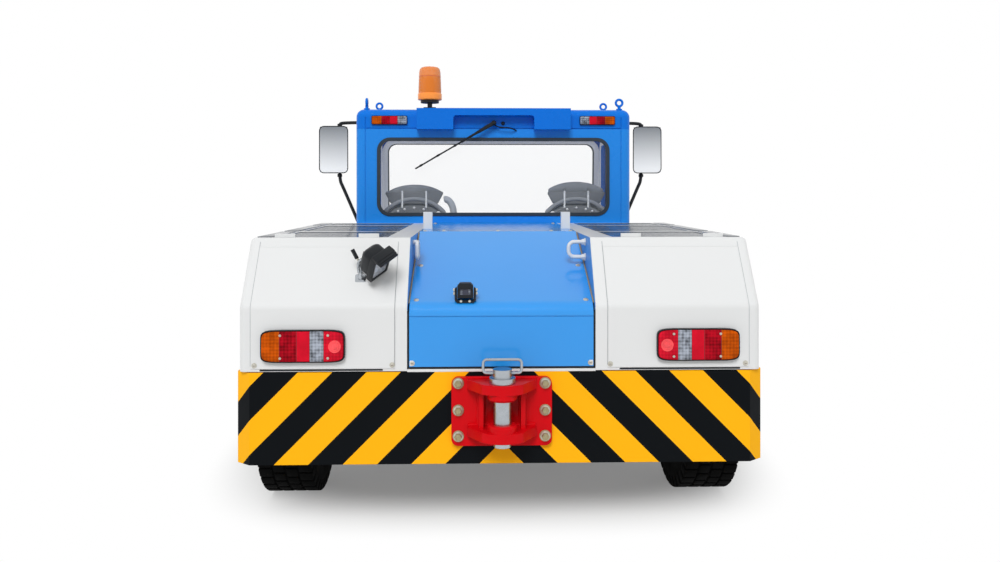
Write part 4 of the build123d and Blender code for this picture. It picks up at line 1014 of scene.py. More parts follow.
    @staticmethod
    def mount(
        piece: Piece, slot: str, body: str = "chassis", replaces: tuple[str, ...] = ()
    ) -> Piece:
        """Let a finished piece ride on its body, and hide the CAD nodes that it stands for.

        Args:
            piece: The finished object, in place.
            slot: Not used.
            body: The CAD body that carries it.
            replaces: CAD nodes that it stands for.

        Returns:
            The same object.
        """
        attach(piece, body)
        if replaces:
            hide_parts(*replaces)
        LOG.info("%s on %s: %d faces", piece.name, body, len(piece.data.polygons))
        return piece

    @staticmethod
    def mount_pair(
        right: Piece, slot: str, bodies: tuple[str, str] = ("chassis", "chassis"),
        replaces: tuple[str, ...] = ()
    ) -> None:
        """Mirror a finished right-hand piece to the tractor's other side, and mount both.

        Args:
            right: The finished object, with a name that ends in "_right".
            slot: A material slot's name, passed on to mount.
            bodies: The CAD bodies that carry the right and the left piece.
            replaces: CAD nodes that the two stand for.
        """
        left = Bench.copy(right, right.name.replace("_right", "_left"), MIRROR)
        for piece, body in zip((right, left), bodies):
            Bench.mount(piece, slot, body, replaces)


@dataclass(frozen=True)
class Tyre:
    """A block-tread tyre on each wheel, with the nuts that hold its rim. Lengths are in millimetres."""

    radius: float = 450.0
    half: float = 130.0
    bead: float = 290.0
    tread: float = 10.0
    pitches: int = 40
    block: Point = (62.0, 60.0, 24.0)
    nuts: int = 10
    nut_ring: float = 98.0
    nut_face: float = 36.0
    shoulder_drop: float = 20.0

    def carcass(self, name: str) -> Piece:
        """Turn the casing: bead, bulged wall with moulded rings, shoulder and the tread's floor.

        Args:
            name: The piece's name.

        Returns:
            The casing about X at the origin.
        """
        floor = self.radius - self.tread
        wall = [
            (self.bead, 102), (self.bead + 8, 110), (self.bead + 22, 119), (self.bead + 30, 123),
            (self.bead + 33, 127),
            (self.bead + 39, 127), (self.bead + 42, 125), (self.bead + 62, 129), (self.bead + 88, self.half),
            (self.bead + 106, 129), (self.bead + 110, 127), (self.bead + 114, 128), (floor - 14, 122),
            (floor - 4, 112),
            (floor, 98), (floor + 1, 40),
        ]
        profile = [(r, -h) for r, h in wall] + [(r, h) for r, h in reversed(wall)]
        return Bench.lathe(name, profile, Axis.X, ORIGIN, 64)

    def blocks(self) -> list[Piece]:
        """Model one tread block and one shoulder lug, and copy them round in staggered rows.

        Returns:
            The copies.
        """
        wide, long, tall = self.block
        top = self.radius - 1.6
        lug = Bench.slab(
            "lug", (self.half - wide - 4, -long / 2, top - tall - 16), (self.half - 4, long / 2, top), Axis.Z,
            6, 3, 2
        )
        Bench.edit_faces(lug, Axis.X, 1)
        bpy.ops.transform.translate(value=(0, 0, -self.shoulder_drop * MM))
        bpy.ops.object.mode_set(mode="OBJECT")
        block = Bench.slab("block", (5, -long / 2, top - tall), (wide - 6, long / 2, top), Axis.Z, 9, 3, 2)
        copies = []
        step = 2 * math.pi / self.pitches
        for place in range(self.pitches):
            for original, offset in ((lug, 0.0), (block, 0.5)):
                turn = Matrix.Rotation(step * (place + offset), 4, "X")
                copies.append(Bench.copy(original, "tread", turn))
                copies.append(
                    Bench.copy(original, "tread", Matrix.Rotation(step * 0.5, 4, "X") @ turn @ MIRROR)
                )
        Bench.discard(lug, block)
        return copies

    def nut_circle(self) -> Piece:
        """Model one flanged wheel nut with its stud, and set it round the hub.

        Returns:
            The ring of nuts about X, on the rim's outer face at the origin's wheel.
        """
        turned = (
            ("flange", [(0, 0), (17, 0), (17, 3), (14, 5), (0, 5)], 18),
            ("hexagon", [(0, 5), (14, 5), (14, 17), (12, 19), (0, 19)], 6),
            ("stud", [(0, 19), (7, 19), (7, 25), (6, 27), (0, 27)], 12),
        )
        at = (self.nut_face, 0, 0)
        nut = Bench.join(
            [Bench.lathe(name, profile, Axis.X, at, steps) for name, profile, steps in turned], "nut"
        )
        spots = [
            (0.0, self.nut_ring * math.cos(a), self.nut_ring * math.sin(a))
            for a in (2 * math.pi * i / self.nuts for i in range(self.nuts))
        ]
        return Bench.spread(nut, spots, "wheel_nuts")

    def build(self) -> None:
        """Model one tyre and one ring of nuts, and copy them to the four wheels."""
        tyre = Bench.join([self.carcass("tyre"), *self.blocks()], "tyre")
        Bench.paint(tyre, Paint.tyre)
        nuts = Bench.paint(self.nut_circle(), Paint.zinc)
        for wheel in WHEELS:
            low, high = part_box(f"tyre_{wheel}")
            middle = Matrix.Translation([(a + b) / 2 for a, b in zip(low, high)])
            move = middle @ (MIRROR if wheel.endswith("left") else Matrix())
            body = f"wheel_{wheel}"
            Bench.mount(Bench.copy(tyre, f"tread_{wheel}", move), "tyre", body, (f"tyre_{wheel}",))
            Bench.mount(Bench.copy(nuts, f"nuts_{wheel}", move), "steel", body)
        Bench.discard(tyre, nuts)


@dataclass(frozen=True)
class HitchDress:
    """Bolts and weld beads on the tow hitches. Lengths are in millimetres."""

    rear: float = -2200.0
    plate: float = 24.0
    bolt_x: float = 190.0
    bolt_rows: tuple[float, ...] = (460.0, 573.0, 691.0)
    bead: float = 7.0
    ripple: Pair = (12.0, 6.0)

    def bolt(self) -> Piece:
        """Model one flange bolt, its head towards -Y at the origin.

        Returns:
            The bolt.
        """
        turned = (
            ("washer", [(0, 0), (25, 0), (25, -3), (22, -5), (0, -5)], 28, Paint.bolt),
            ("flange", [(0, -5), (21, -5), (21, -8), (17, -11), (0, -11)], 28, Paint.zinc),
            (
                "head", [(0, -10), (17, -10), (17, -22), (14, -25), (11, -25), (10, -24), (0, -24)], 6,
                Paint.bolt
            ),
        )
        pieces = [
            Bench.paint(Bench.lathe(name, profile, Axis.Y, ORIGIN, steps), finish)
            for name, profile, steps, finish in turned
        ]
        return Bench.join(pieces, "bolt")

    def welds(self) -> Piece:
        """Run a bead along each ear's root and down each gusset.

        Returns:
            The beads as one object.
        """
        y = self.rear - self.plate - 1
        runs = []
        for z in (464.0, 510.0, 668.0, 714.0):
            runs.append([(-150, y, z), (-50, y, z), (50, y, z), (150, y, z)])
        for x in (-102.0, -78.0, 78.0, 102.0):
            runs.append([(x, y, 510), (x, y, 560), (x, y, 620), (x, y, 668)])
        beads = [Bench.tube("bead", run, self.bead, 6) for run in runs]
        joined = Bench.join(beads, "hitch_welds")
        wobble = joined.modifiers.new("ripple", "DISPLACE")
        texture = bpy.data.textures.new("weld_ripple", "CLOUDS")
        texture.noise_scale = self.ripple[0] * MM
        wobble.texture = texture
        wobble.strength = self.ripple[1] * MM
        wobble.texture_coords = "GLOBAL"
        bpy.ops.object.modifier_apply(modifier=wobble.name)
        return joined

    def build(self) -> None:
        """Dress the rear hitch, and the front one turned round."""
        y = self.rear - self.plate
        spots = [(side * self.bolt_x, y, z) for side in (-1, 1) for z in self.bolt_rows]
        bolts = Bench.spread(self.bolt(), spots, "rear_hitch_bolts")
        welds = Bench.paint(self.welds(), Paint.red)
        round_turn = Matrix.Rotation(math.pi, 4, "Z")
        front_bolts = Bench.copy(bolts, "front_hitch_bolts", round_turn)
        front_welds = Bench.copy(welds, "front_hitch_welds", round_turn)
        for piece in (bolts, front_bolts):
            Bench.mount(piece, "steel")
        for piece, name in ((welds, "rear_hitch_welds"), (front_welds, "front_hitch_welds")):
            piece.name = name
            Bench.mount(piece, "red_paint")


@dataclass(frozen=True)
class LampUnit:
    """A row of coloured lenses in one moulded face. Lengths are in millimetres."""

    middle: float
    width: float
    z0: float
    height: float
    face: float
    back: float
    power: float
    rim: float
    bands: tuple[tuple[float, Finish], ...]

    def outline(self, inset: float) -> list[Pair]:
        """Trace the face as a rectangle with bowed sides, squarer with a higher power.

        Args:
            inset: Distance inside the lamp's own outline.

        Returns:
            The outline's corners, across and up.
        """
        half, tall = self.width / 2 - inset, self.height / 2 - inset
        corners = 64
        spots = []
        for step in range(corners):
            turn = 2 * math.pi * (step + 0.5) / corners
            across, up = (
                math.copysign(
                    abs(part) ** (2 / self.power), part
                ) for part in (math.cos(turn), math.sin(turn))
            )
            spots.append((self.middle + half * across, self.z0 + self.height / 2 + tall * up))
        return spots

    def lens(self, name: str) -> Piece:
        """Model the right-hand lens face, cut it at each change of colour and paint the bands.

        Args:
            name: The piece's name.

        Returns:
            The lens face.
        """
        inner = self.middle - self.width / 2 + self.rim
        outer = self.middle + self.width / 2 - self.rim
        lens = Bench.prism(name, self.outline(self.rim), Axis.Y, self.face, self.back, 4.0, 3)
        place = outer
        seams = []
        for share, _ in self.bands[:-1]:
            place -= share * (outer - inner)
            seams += [place - 1.0, place + 1.0]
        Bench.activate(lens)
        bpy.ops.object.mode_set(mode="EDIT")
        for seam in seams:
            bpy.ops.mesh.select_all(action="SELECT")
            bpy.ops.mesh.bisect(plane_co=(seam * MM, 0, 0), plane_no=Axis.X.value)
        bpy.ops.object.mode_set(mode="OBJECT")
        lens.data.materials.clear()
        for _, finish in self.bands:
            lens.data.materials.append(finish.build())
        lens.data.materials.append(Paint.lens_seam.build())
        for face in lens.data.polygons:
            x = face.center.x / MM
            if any(seams[i] <= x <= seams[i + 1] for i in range(0, len(seams), 2)):
                face.material_index = len(self.bands)
            else:
                face.material_index = sum(1 for i in range(0, len(seams), 2) if x < seams[i])
        return lens

    def bezel(self, name: str) -> Piece:
        """Model the black surround, recessed behind its rim.

        Args:
            name: The piece's name.

        Returns:
            The surround.
        """
        bezel = Bench.prism(name, self.outline(0), Axis.Y, self.face + 5, self.back, 0)
        Bench.recess(bezel, self.rim - 1.5, 6)
        return Bench.paint(Bench.soften(bezel, 1.2), Paint.black)

    def build(self, node: str, slot: str, extras: list[Piece]) -> None:
        """Assemble the right-hand lamp, mirror it, and let both stand for the CAD node.

        Args:
            node: The CAD node that the pair stands for.
            slot: A material slot's name, passed on to mount_pair.
            extras: More right-hand pieces that belong to the lamp.
        """
        right = Bench.join([self.bezel("bezel"), self.lens("lens"), *extras], f"{node}_right")
        Bench.mount_pair(right, slot, replaces=(node,))


class Lamps:
    """Tail lamps on the pods, lamps on the cab's back, headlamps and the beacon."""

    def tail(self) -> None:
        """Model the five-part tail lamps with their reflector and screws."""
        unit = LampUnit(
            867, 366, 783, 142, -2229, -2203, 7, 5.5,
            (
                (0.22, Paint.amber), (0.21, Paint.red_lens), (0.16, Paint.plain_red), (0.17, Paint.clear),
                (0.24, Paint.red_glow)
            ),
        )
        profile = [(0, -5), (8, -4.5), (12, -3), (13, -1.5), (19, -3), (20, -1), (27, -2.4), (28, 0), (0, 0)]
        reflector = Bench.paint(
            Bench.lathe("reflector", profile, Axis.Y, (727, -2229, 854), 36), Paint.red_reflex
        )
        screw = Bench.lathe(
            "screw", [(0, -3), (2, -3), (2.2, -4), (5, -3.6), (6, -1), (6, 2), (0, 2)], Axis.Y, ORIGIN, 14
        )
        spots = [(x, -2229, z) for x in (756, 963) for z in (804, 903)]
        screws = Bench.paint(Bench.spread(screw, spots, "screws"), Paint.zinc)
        unit.build("tail_lamps", "red_lens", [reflector, screws])

    def roof(self) -> None:
        """Model the four-part lamps beside the header, with LED clusters in the white part."""
        unit = LampUnit(
            688, 236, 1966, 59, -348, -330, 16, 4,
            ((0.28, Paint.amber), (0.24, Paint.red_lens), (0.22, Paint.plain_red), (0.26, Paint.clear)),
        )
        bulb = Bench.lathe("led", [(0, -5), (3, -4.6), (5, -2.5), (5.5, 0), (0, 0)], Axis.Y, ORIGIN, 12)
        spots = [(585 + 13 * i, -348, 1980 + 15 * k) for i in range(4) for k in range(3)]
        unit.build("roof_lamps", "red_lens", [Bench.paint(Bench.spread(bulb, spots, "leds"), Paint.clear)])

    def head(self) -> None:
        """Model one headlamp with bezel and fluted lens, and copy it to its four places."""
        bezel = Bench.lathe(
            "bezel", [(60, 4), (66, 24), (68, 33), (74, 34), (78, 30), (78, 0), (60, 0), (60, 4)], Axis.Y,
            ORIGIN, 40
        )
        lens = Bench.lathe(
            "lens", [(0, 31), (30, 29.5), (55, 25), (67, 19), (67, 14), (0, 14)], Axis.Y, ORIGIN, 40
        )
        lamp = Bench.join([Bench.paint(bezel, Paint.black), Bench.paint(lens, Paint.lamp_glass)], "headlamp")
        spots = [(side * (900 + step), 2200, 850) for side in (-1, 1) for step in (-95, 95)]
        Bench.mount(Bench.spread(lamp, spots, "front_headlamps"), "clear_lens", replaces=("headlamps",))

    def beacon(self) -> None:
        """Model the beacon: a clear amber dome, its lit core with darker bands, and the base ring."""
        low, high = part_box("beacon_lens")
        at = ((low[0] + high[0]) / 2 / MM, (low[1] + high[1]) / 2 / MM, low[2] / MM)
        height = (high[2] - low[2]) / MM
        base = [(0, 0), (72, 0), (78, 3), (79, 8), (79, 38), (77, 43), (70, 46), (0, 46)]
        ring = Bench.paint(Bench.lathe("ring", base, Axis.Z, at, 48), Paint.beacon_base)
        dome_profile = [
            (74, 44), (75, 60), (73, 120), (70, height - 34), (66, height - 16), (56, height - 5),
            (40, height - 1), (0, height)
        ]
        dome = Bench.paint(Bench.lathe("dome", dome_profile, Axis.Z, at, 96), Paint.beacon_dome)
        core_profile = [(0, 48), (30, 48), (34, 56), (34, 120), (26, 150), (10, 160), (0, 160)]
        core = Bench.paint(Bench.lathe("core", core_profile, Axis.Z, at, 10), Paint.beacon_core)
        bands = [
            Bench.paint(
                Bench.lathe(
                    "band", [(67, z), (72, z + 2), (72, z + 6), (67, z + 8), (67, z)], Axis.Z, at, 48
                ),
                Paint.beacon_core,
            )
            for z in (62, 84, 106, 128, 150)
        ]
        beacon = Bench.join([ring, dome, core, *bands], "beacon")
        Bench.mount(beacon, "amber_lens", replaces=("beacon_lens",))

    def build(self) -> None:
        """Model every lamp."""
        self.tail()
        self.roof()
        self.head()
        self.beacon()


@dataclass(frozen=True)
class Mirrors:
    """Door mirrors on bent arms. Lengths are in millimetres, for the right-hand side."""

    inner: float = 1122.0
    outer: float = 1353.0
    z0: float = 1665.0
    z1: float = 2040.0
    middle: float = 780.0
    depth: float = 90.0

    def head(self) -> Piece:
        """Model the moulded shell: rounded, drawn in at its back, with a recess for the glass.

        Returns:
            The shell.
        """
        y0 = self.middle - self.depth / 2
        y1 = self.middle + self.depth / 2
        shell = Bench.slab("shell", (self.inner, y0, self.z0), (self.outer, y1, self.z1), Axis.Y, 40, 0)
        centre = ((self.inner + self.outer) / 2 * MM, y1 * MM, (self.z0 + self.z1) / 2 * MM)
        Bench.edit_faces(shell, Axis.Y, 1)
        bpy.ops.transform.resize(value=(0.74, 1, 0.84), center_override=centre)
        bpy.ops.object.mode_set(mode="OBJECT")
        Bench.recess(shell, 9, 8)
        return Bench.paint(Bench.soften(shell, 6, 3), Paint.black)

    def glass(self) -> Piece:
        """Model the slightly domed glass.

        Returns:
            The glass.
        """
        Bench.clear()
        centre = ((self.inner + self.outer) / 2, self.middle - self.depth / 2 + 6, (self.z0 + self.z1) / 2)
        wide, tall = self.outer - self.inner - 16, self.z1 - self.z0 - 16
        bpy.ops.mesh.primitive_grid_add(
            x_subdivisions=12, y_subdivisions=20, size=1, location=[value * MM for value in centre],
            rotation=(math.pi / 2, 0, 0),
        )
        bpy.context.object.scale = (wide * MM, tall * MM, 1)
        glass = Bench.settle("glass")
        nearest = min(glass.data.vertices, key=lambda spot: (spot.co - Vector(centre) * MM).length).index
        bpy.ops.object.mode_set(mode="EDIT")
        bpy.ops.mesh.select_mode(type="VERT")
        bpy.ops.mesh.select_all(action="DESELECT")
        bpy.ops.object.mode_set(mode="OBJECT")
        glass.data.vertices[nearest].select = True
        bpy.ops.object.mode_set(mode="EDIT")
        bpy.ops.transform.translate(
            value=(0, -5 * MM, 0), use_proportional_edit=True, proportional_edit_falloff="SPHERE",
            proportional_size=0.3
        )
        bpy.ops.object.mode_set(mode="OBJECT")
        bpy.ops.object.shade_smooth()
        return Bench.paint(glass, Paint.mirror)

    def arms(self) -> list[Piece]:
        """Bend the upper and lower arms, and clamp them to the cab and the shell.

        Returns:
            Arms, feet and clamps.
        """
        x = self.inner + 74
        upper = [
            (912, 718, 2064), (994, 718, 2064), (1080, 740, 2064), (x - 10, 778, 2064), (x, 780, 2050),
            (x, 780, 2020)
        ]
        lower = [
            (912, 718, 1110), (954, 718, 1110), (990, 722, 1160), (1170, 776, 1560), (x, 780, 1610),
            (x, 780, 1690)
        ]
        pieces = [Bench.tube(name, run, 13, 10) for name, run in (("upper_arm", upper), ("lower_arm", lower))]
        for z in (2064, 1110):
            foot = [(0, 0), (30, 0), (30, 5), (20, 9), (19, 26), (0, 26)]
            pieces.append(Bench.lathe("foot", foot, Axis.X, (912, 718, z), 24))
        for z in (1650, 2046):
            clamp = [(0, -12), (17, -12), (19, -9), (19, 9), (17, 12), (0, 12)]
            pieces.append(Bench.lathe("clamp", clamp, Axis.Z, (x, 780, z), 20))
        return [Bench.paint(piece, Paint.black) for piece in pieces]

    def build(self) -> None:
        """Assemble the right-hand mirror, and mirror it to the left."""
        right = Bench.join([self.head(), self.glass(), *self.arms()], "mirror_right")
        Bench.mount_pair(right, "black_plastic", replaces=("mirrors",))


@dataclass(frozen=True)
class BodyDress:
    """Screws, seals, black strips of painted shade in the gaps, and blue plates of painted reflection on the
    pods and the hood. Lengths are in millimetres.
    """

    rear: float = -2200.0
    pod_in: float = 415.0
    hood_half: float = 406.0
    crease: float = 980.0
    fold: float = 1025.0
    hood_top: float = 1320.0
    pod_top: float = 1316.0
    hood_run: float = 680.0
    pod_run: float = 188.0

    @property
    def slope(self) -> float:
        """Rise of the hood's slope for each millimetre ahead."""
        return (self.hood_top - self.fold) / self.hood_run

    def screw(self, radius: float) -> Piece:
        """Model one pan-head screw on a washer, its head towards +Z at the origin.

        Args:
            radius: The head's radius in millimetres.

        Returns:
            The screw.
        """
        washer = [(0, -1), (radius * 1.5, -1), (radius * 1.5, 0.8), (radius * 1.35, 1.4), (0, 1.4)]
        head = [
            (0, 1.2), (radius, 1.2), (radius, radius * 0.35), (radius * 0.7, radius * 0.62),
            (0, radius * 0.72)
        ]
        pieces = [
            Bench.lathe("washer", washer, Axis.Z, ORIGIN, 20),
            Bench.lathe("head", head, Axis.Z, ORIGIN, 16),
        ]
        # The slot is a dark bar on the head: painted shade where the recess lies.
        slot = Bench.slab(
            "slot", (-radius * 0.6, -1, radius * 0.4), (radius * 0.6, 1, radius * 0.74), Axis.Z, 0.8, 0.2, 2
        )
        Bench.paint(slot, Paint.lens_seam)
        for piece in pieces:
            Bench.paint(piece, Paint.zinc)
        return Bench.join([*pieces, slot], "screw")

    def screws(self) -> None:
        """Set screws on the hood's top and slope, at the panels' lower corners and beside the cab."""
        screw = self.screw(8.0)
        lean = Matrix.Rotation(math.atan(self.slope), 4, "X")
        upright = Matrix.Rotation(math.pi / 2, 4, "X")
        places = [((x, self.rear + 712, self.hood_top), Matrix()) for x in (-381, -282, 0, 282, 382)]
        places += [((x, self.rear + 1697, self.hood_top), Matrix()) for x in (-377, 378)]
        places += [
            ((x, self.rear + y, self.fold + self.slope * y), lean) for x in (-378, 378) for y in (48, 340)
        ]
        places += [((x, self.rear, 774), upright) for x in (-393, 393)]
        places += [((side * x, self.rear - 3, 768), upright) for side in (-1, 1) for x in (480, 1081)]
        copies = [
            Bench.copy(screw, "screw", shift(spot) @ turn)
            for spot, turn in places
        ]
        Bench.discard(screw)
        Bench.mount(Bench.join(copies, "body_screws"), "steel")

    def gaps(self) -> None:
        """Fill the gaps beside and below the hood's rear panel with black strips: painted shade where the
        gaps lie in shadow.
        """
        strips = []
        for side in (-1, 1):
            edges = sorted((side * (self.hood_half + 0.5), side * (self.pod_in - 0.5)))
            strips.append(
                Bench.slab(
                    "side", (edges[0], self.rear + 3, 750), (edges[1], self.rear + 20, self.crease + 22),
                    Axis.Y, 0, 1
                )
            )
            slot = sorted((side * 521, side * 1058))
            strips.append(
                Bench.slab(
                    "slot", (slot[0], self.rear - 1.5, 743), (slot[1], self.rear + 2, 750), Axis.Y, 3, 0.5, 4
                )
            )
        strips.append(
            Bench.slab(
                "foot", (-self.hood_half, self.rear + 3, 748.5), (self.hood_half, self.rear + 20, 757.5),
                Axis.Y, 0, 1
            )
        )
        seam = Bench.slab(
            "hood_seam", (-self.hood_half, self.rear + 1.2, self.crease - 2.8),
            (self.hood_half, self.rear + 20, self.crease - 0.2), Axis.Y, 0, 0.5,
        )
        Bench.mount(Bench.paint(seam, Paint.hood), "hood_paint")
        # The strips are black: painted shade in the gaps.
        for strip in strips:
            Bench.paint(strip, Paint.black)
        Bench.mount(Bench.join(strips, "hood_gap_seals"), "rubber")

    def linings(self) -> None:
        """Line the pods' inner walls beside the hood's slope with blue plates, a painted reflection of the
        blue hood, sealed along their feet.
        """
        inside = self.pod_in - 2.5
        outline = [
            (self.rear + 6, self.crease + 24), (self.rear + 5, self.fold + 8),
            (self.rear + self.pod_run, self.pod_top - 1),
            (self.rear + self.hood_run + 60, self.pod_top - 1),
            (self.rear + self.hood_run, self.hood_top - 10),
        ]
        plate = Bench.prism("lining_right", outline, Axis.X, inside, self.pod_in - 0.2, 0.5)
        # The blue plates are a painted reflection of the hood.
        Bench.mount_pair(Bench.paint(plate, Paint.lining), "blue_paint")
        run = [
            (
                self.hood_half + 3, self.rear + y, self.fold + self.slope * y + 2
            ) for y in (22, 180, 340, 500, 660)
        ]
        bead = Bench.paint(Bench.tube("hood_seal_right", run, 3.2, 6), Paint.tan_seal)
        Bench.mount_pair(bead, "rubber")

    def deck_strips(self) -> None:
        """Lay a dark grip plate outside each bay of the decks."""
        bays = ((-1976, -1480), (-1429, -725), (-674, -364))
        plates = [
            Bench.slab("plate", (1056, y0, self.pod_top - 1), (1127, y1, self.pod_top + 3), Axis.Z, 6, 1, 3)
            for y0, y1 in bays
        ]
        right = Bench.paint(Bench.join(plates, "deck_strip_right"), Paint.deck)
        Bench.mount_pair(right, "frame_paint")

    def panel_seams(self) -> None:
        """Draw the shadow beside the pods' rear panels, and set collars on the lashing ring's legs."""
        profile = [
            (self.rear, 764), (self.rear, 900), (self.rear, 1010), (self.rear + 1.4, 1024),
            (self.rear + 7.2, 1036),
            (self.rear + 80, 1149), (self.rear + 176, 1297.5),
        ]
        runs = [Bench.tube("seam", [(x, y, z) for y, z in profile], 1.4, 6) for x in (468.5, 1098.5)]
        right = Bench.paint(Bench.join(runs, "panel_seam_right"), Paint.seam)
        Bench.mount_pair(right, "white_paint")
        collar = Bench.lathe(
            "collar", [(0, 0), (20, 0), (20, -5), (15, -7), (15, -18), (0, -18)], Axis.X, ORIGIN, 6
        )
        collars = Bench.spread(collar, [(self.pod_in - 3, -1870, z) for z in (1214, 1286)], "ring_collars")
        Bench.mount(Bench.paint(collars, Paint.white), "white_paint")

    def corners(self) -> None:
        """Set the white corner pieces under the hood's rear panel."""
        corner = Bench.slab(
            "corner_right", (386, self.rear - 2, 762), (404, self.rear + 1, 786), Axis.Y, 4, 0.8, 4
        )
        Bench.mount_pair(Bench.paint(corner, Paint.white), "white_paint")

    def build(self) -> None:
        """Dress the pods and the hood."""
        self.screws()
        self.gaps()
        self.linings()
        self.corners()
        self.deck_strips()
        self.panel_seams()


@dataclass(frozen=True)
class WorkLamp:
    """The swivelling work lamp on the left pod. Lengths are in millimetres, lens towards -Y at the origin."""

    foot: Point = (-628.0, -2126.0, 1139.5)
    swing: Point = (48.0, -52.0, 100.0)
    turns: Point = (35.0, -32.0, 67.0)
    width: float = 110.0
    height: float = 144.0
    depth: float = 70.0
    pod_slope: Pair = (291.0, 188.0)

    def housing(self) -> list[Piece]:
        """Model the body with its rounded back, the front frame, the stepped visor and the lens.

        Returns:
            The pieces, in the lamp's own place.
        """
        half, tall = self.width / 2, self.height / 2
        body = Bench.slab("body", (-half + 6, -44, -tall + 6), (half - 6, -2, tall - 6), Axis.Y, 26, 0)
        Bench.edit_faces(body, Axis.Y, 1)
        for step, shrink in ((9, 0.93), (8, 0.86), (6, 0.76), (3, 0.6)):
            bpy.ops.mesh.extrude_region_move(TRANSFORM_OT_translate={"value": (0, step * MM, 0)})
            bpy.ops.transform.resize(value=(shrink, 1, shrink), center_override=(0, 0.02, 0))
        bpy.ops.object.mode_set(mode="OBJECT")
        Bench.soften(body, 3, 3)
        front = Bench.slab("front", (-half, -self.depth, -tall), (half, -42, tall), Axis.Y, 10, 0)
        Bench.recess(front, 11, 12)
        Bench.soften(front, 2.5, 3)
        visor = []
        for reach, low, high in (
            (34, tall - 9, tall + 2), (24, tall - 3, tall + 7), (13, tall + 3, tall + 11)
        ):
            visor.append(
                Bench.slab(
                    "visor", (-half + 1, -self.depth - reach, low), (half - 1, -46, high), Axis.X, 3, 1.5, 3
                )
            )
        ribs = [
            Bench.slab(
                "rib", (x - 2, 2, -tall * 0.5), (x + 2, 24, tall * 0.5), Axis.X, 2, 0.8, 2
            ) for x in (-24, -8, 8, 24)
        ]
        for piece in (body, front, *visor, *ribs):
            Bench.paint(piece, Paint.black)
        lens = Bench.slab(
            "lens", (-half + 9, -self.depth + 5, -tall + 9), (half - 9, -self.depth + 16, tall - 9), Axis.Y,
            8, 2
        )
        return [body, front, *visor, *ribs, Bench.paint(lens, Paint.lamp_glass)]

    def bracket(self) -> list[Piece]:
        """Bend the bracket up from its foot plate, with the lever that turns the lamp.

        Returns:
            The pieces, in the tractor's place.
        """
        x, y, z = self.foot
        end = [a + b for a, b in zip(self.foot, self.swing)]
        lean = math.atan2(*self.pod_slope)
        plate = Bench.slab("plate", (-24, -20, -1), (24, 20, 4), Axis.Z, 6, 1, 4)
        nut = Bench.lathe("nut", [(0, 4), (11, 4), (11, 13), (9, 15), (0, 15)], Axis.Z, ORIGIN, 6)
        base = Bench.join([plate, nut], "base")
        base.data.transform(shift(self.foot) @ Matrix.Rotation(lean, 4, "X"))
        arm = Bench.tube(
            "arm", [(x, y - 2, z - 6), (x - 2, y - 8, z + 40), (x + 6, y - 20, z + 74), tuple(end)], 9, 8
        )
        bow = Bench.tube(
            "bow",
            [
                (x - 6, y - 14, z + 28), (x - 12, y - 26, z + 60), (x + 4, y - 44, z + 92),
                (end[0], end[1], end[2] + 6)
            ],
            6, 8
        )
        pieces = [Bench.paint(piece, Paint.steel) for piece in (base, arm, bow)]
        stem = Bench.tube("stem", [(x + 2, y - 26, z + 72), (x - 12, y - 30, z + 92)], 5, 8)
        grip = Bench.tube(
            "grip", [(x - 12, y - 30, z + 92), (x - 24, y - 33, z + 116), (x - 32, y - 35, z + 132)], 9, 8
        )
        pieces += [Bench.paint(stem, Paint.zinc), Bench.paint(grip, Paint.black)]
        return pieces

    def build(self) -> None:
        """Assemble the lamp, aim it, and set it on its bracket."""
        dip, roll, turn = (math.radians(value) for value in self.turns)
        aim = Matrix.Rotation(turn, 4, "Z") @ Matrix.Rotation(dip, 4, "X") @ Matrix.Rotation(roll, 4, "Y")
        middle = shift([a + b for a, b in zip(self.foot, self.swing)])
        lamp = Bench.join(self.housing(), "lamp")
        lamp.data.transform(middle @ aim)
        whole = Bench.join([lamp, *self.bracket()], "work_lamp_unit")
        Bench.mount(whole, "black_plastic", replaces=("work_lamp",))


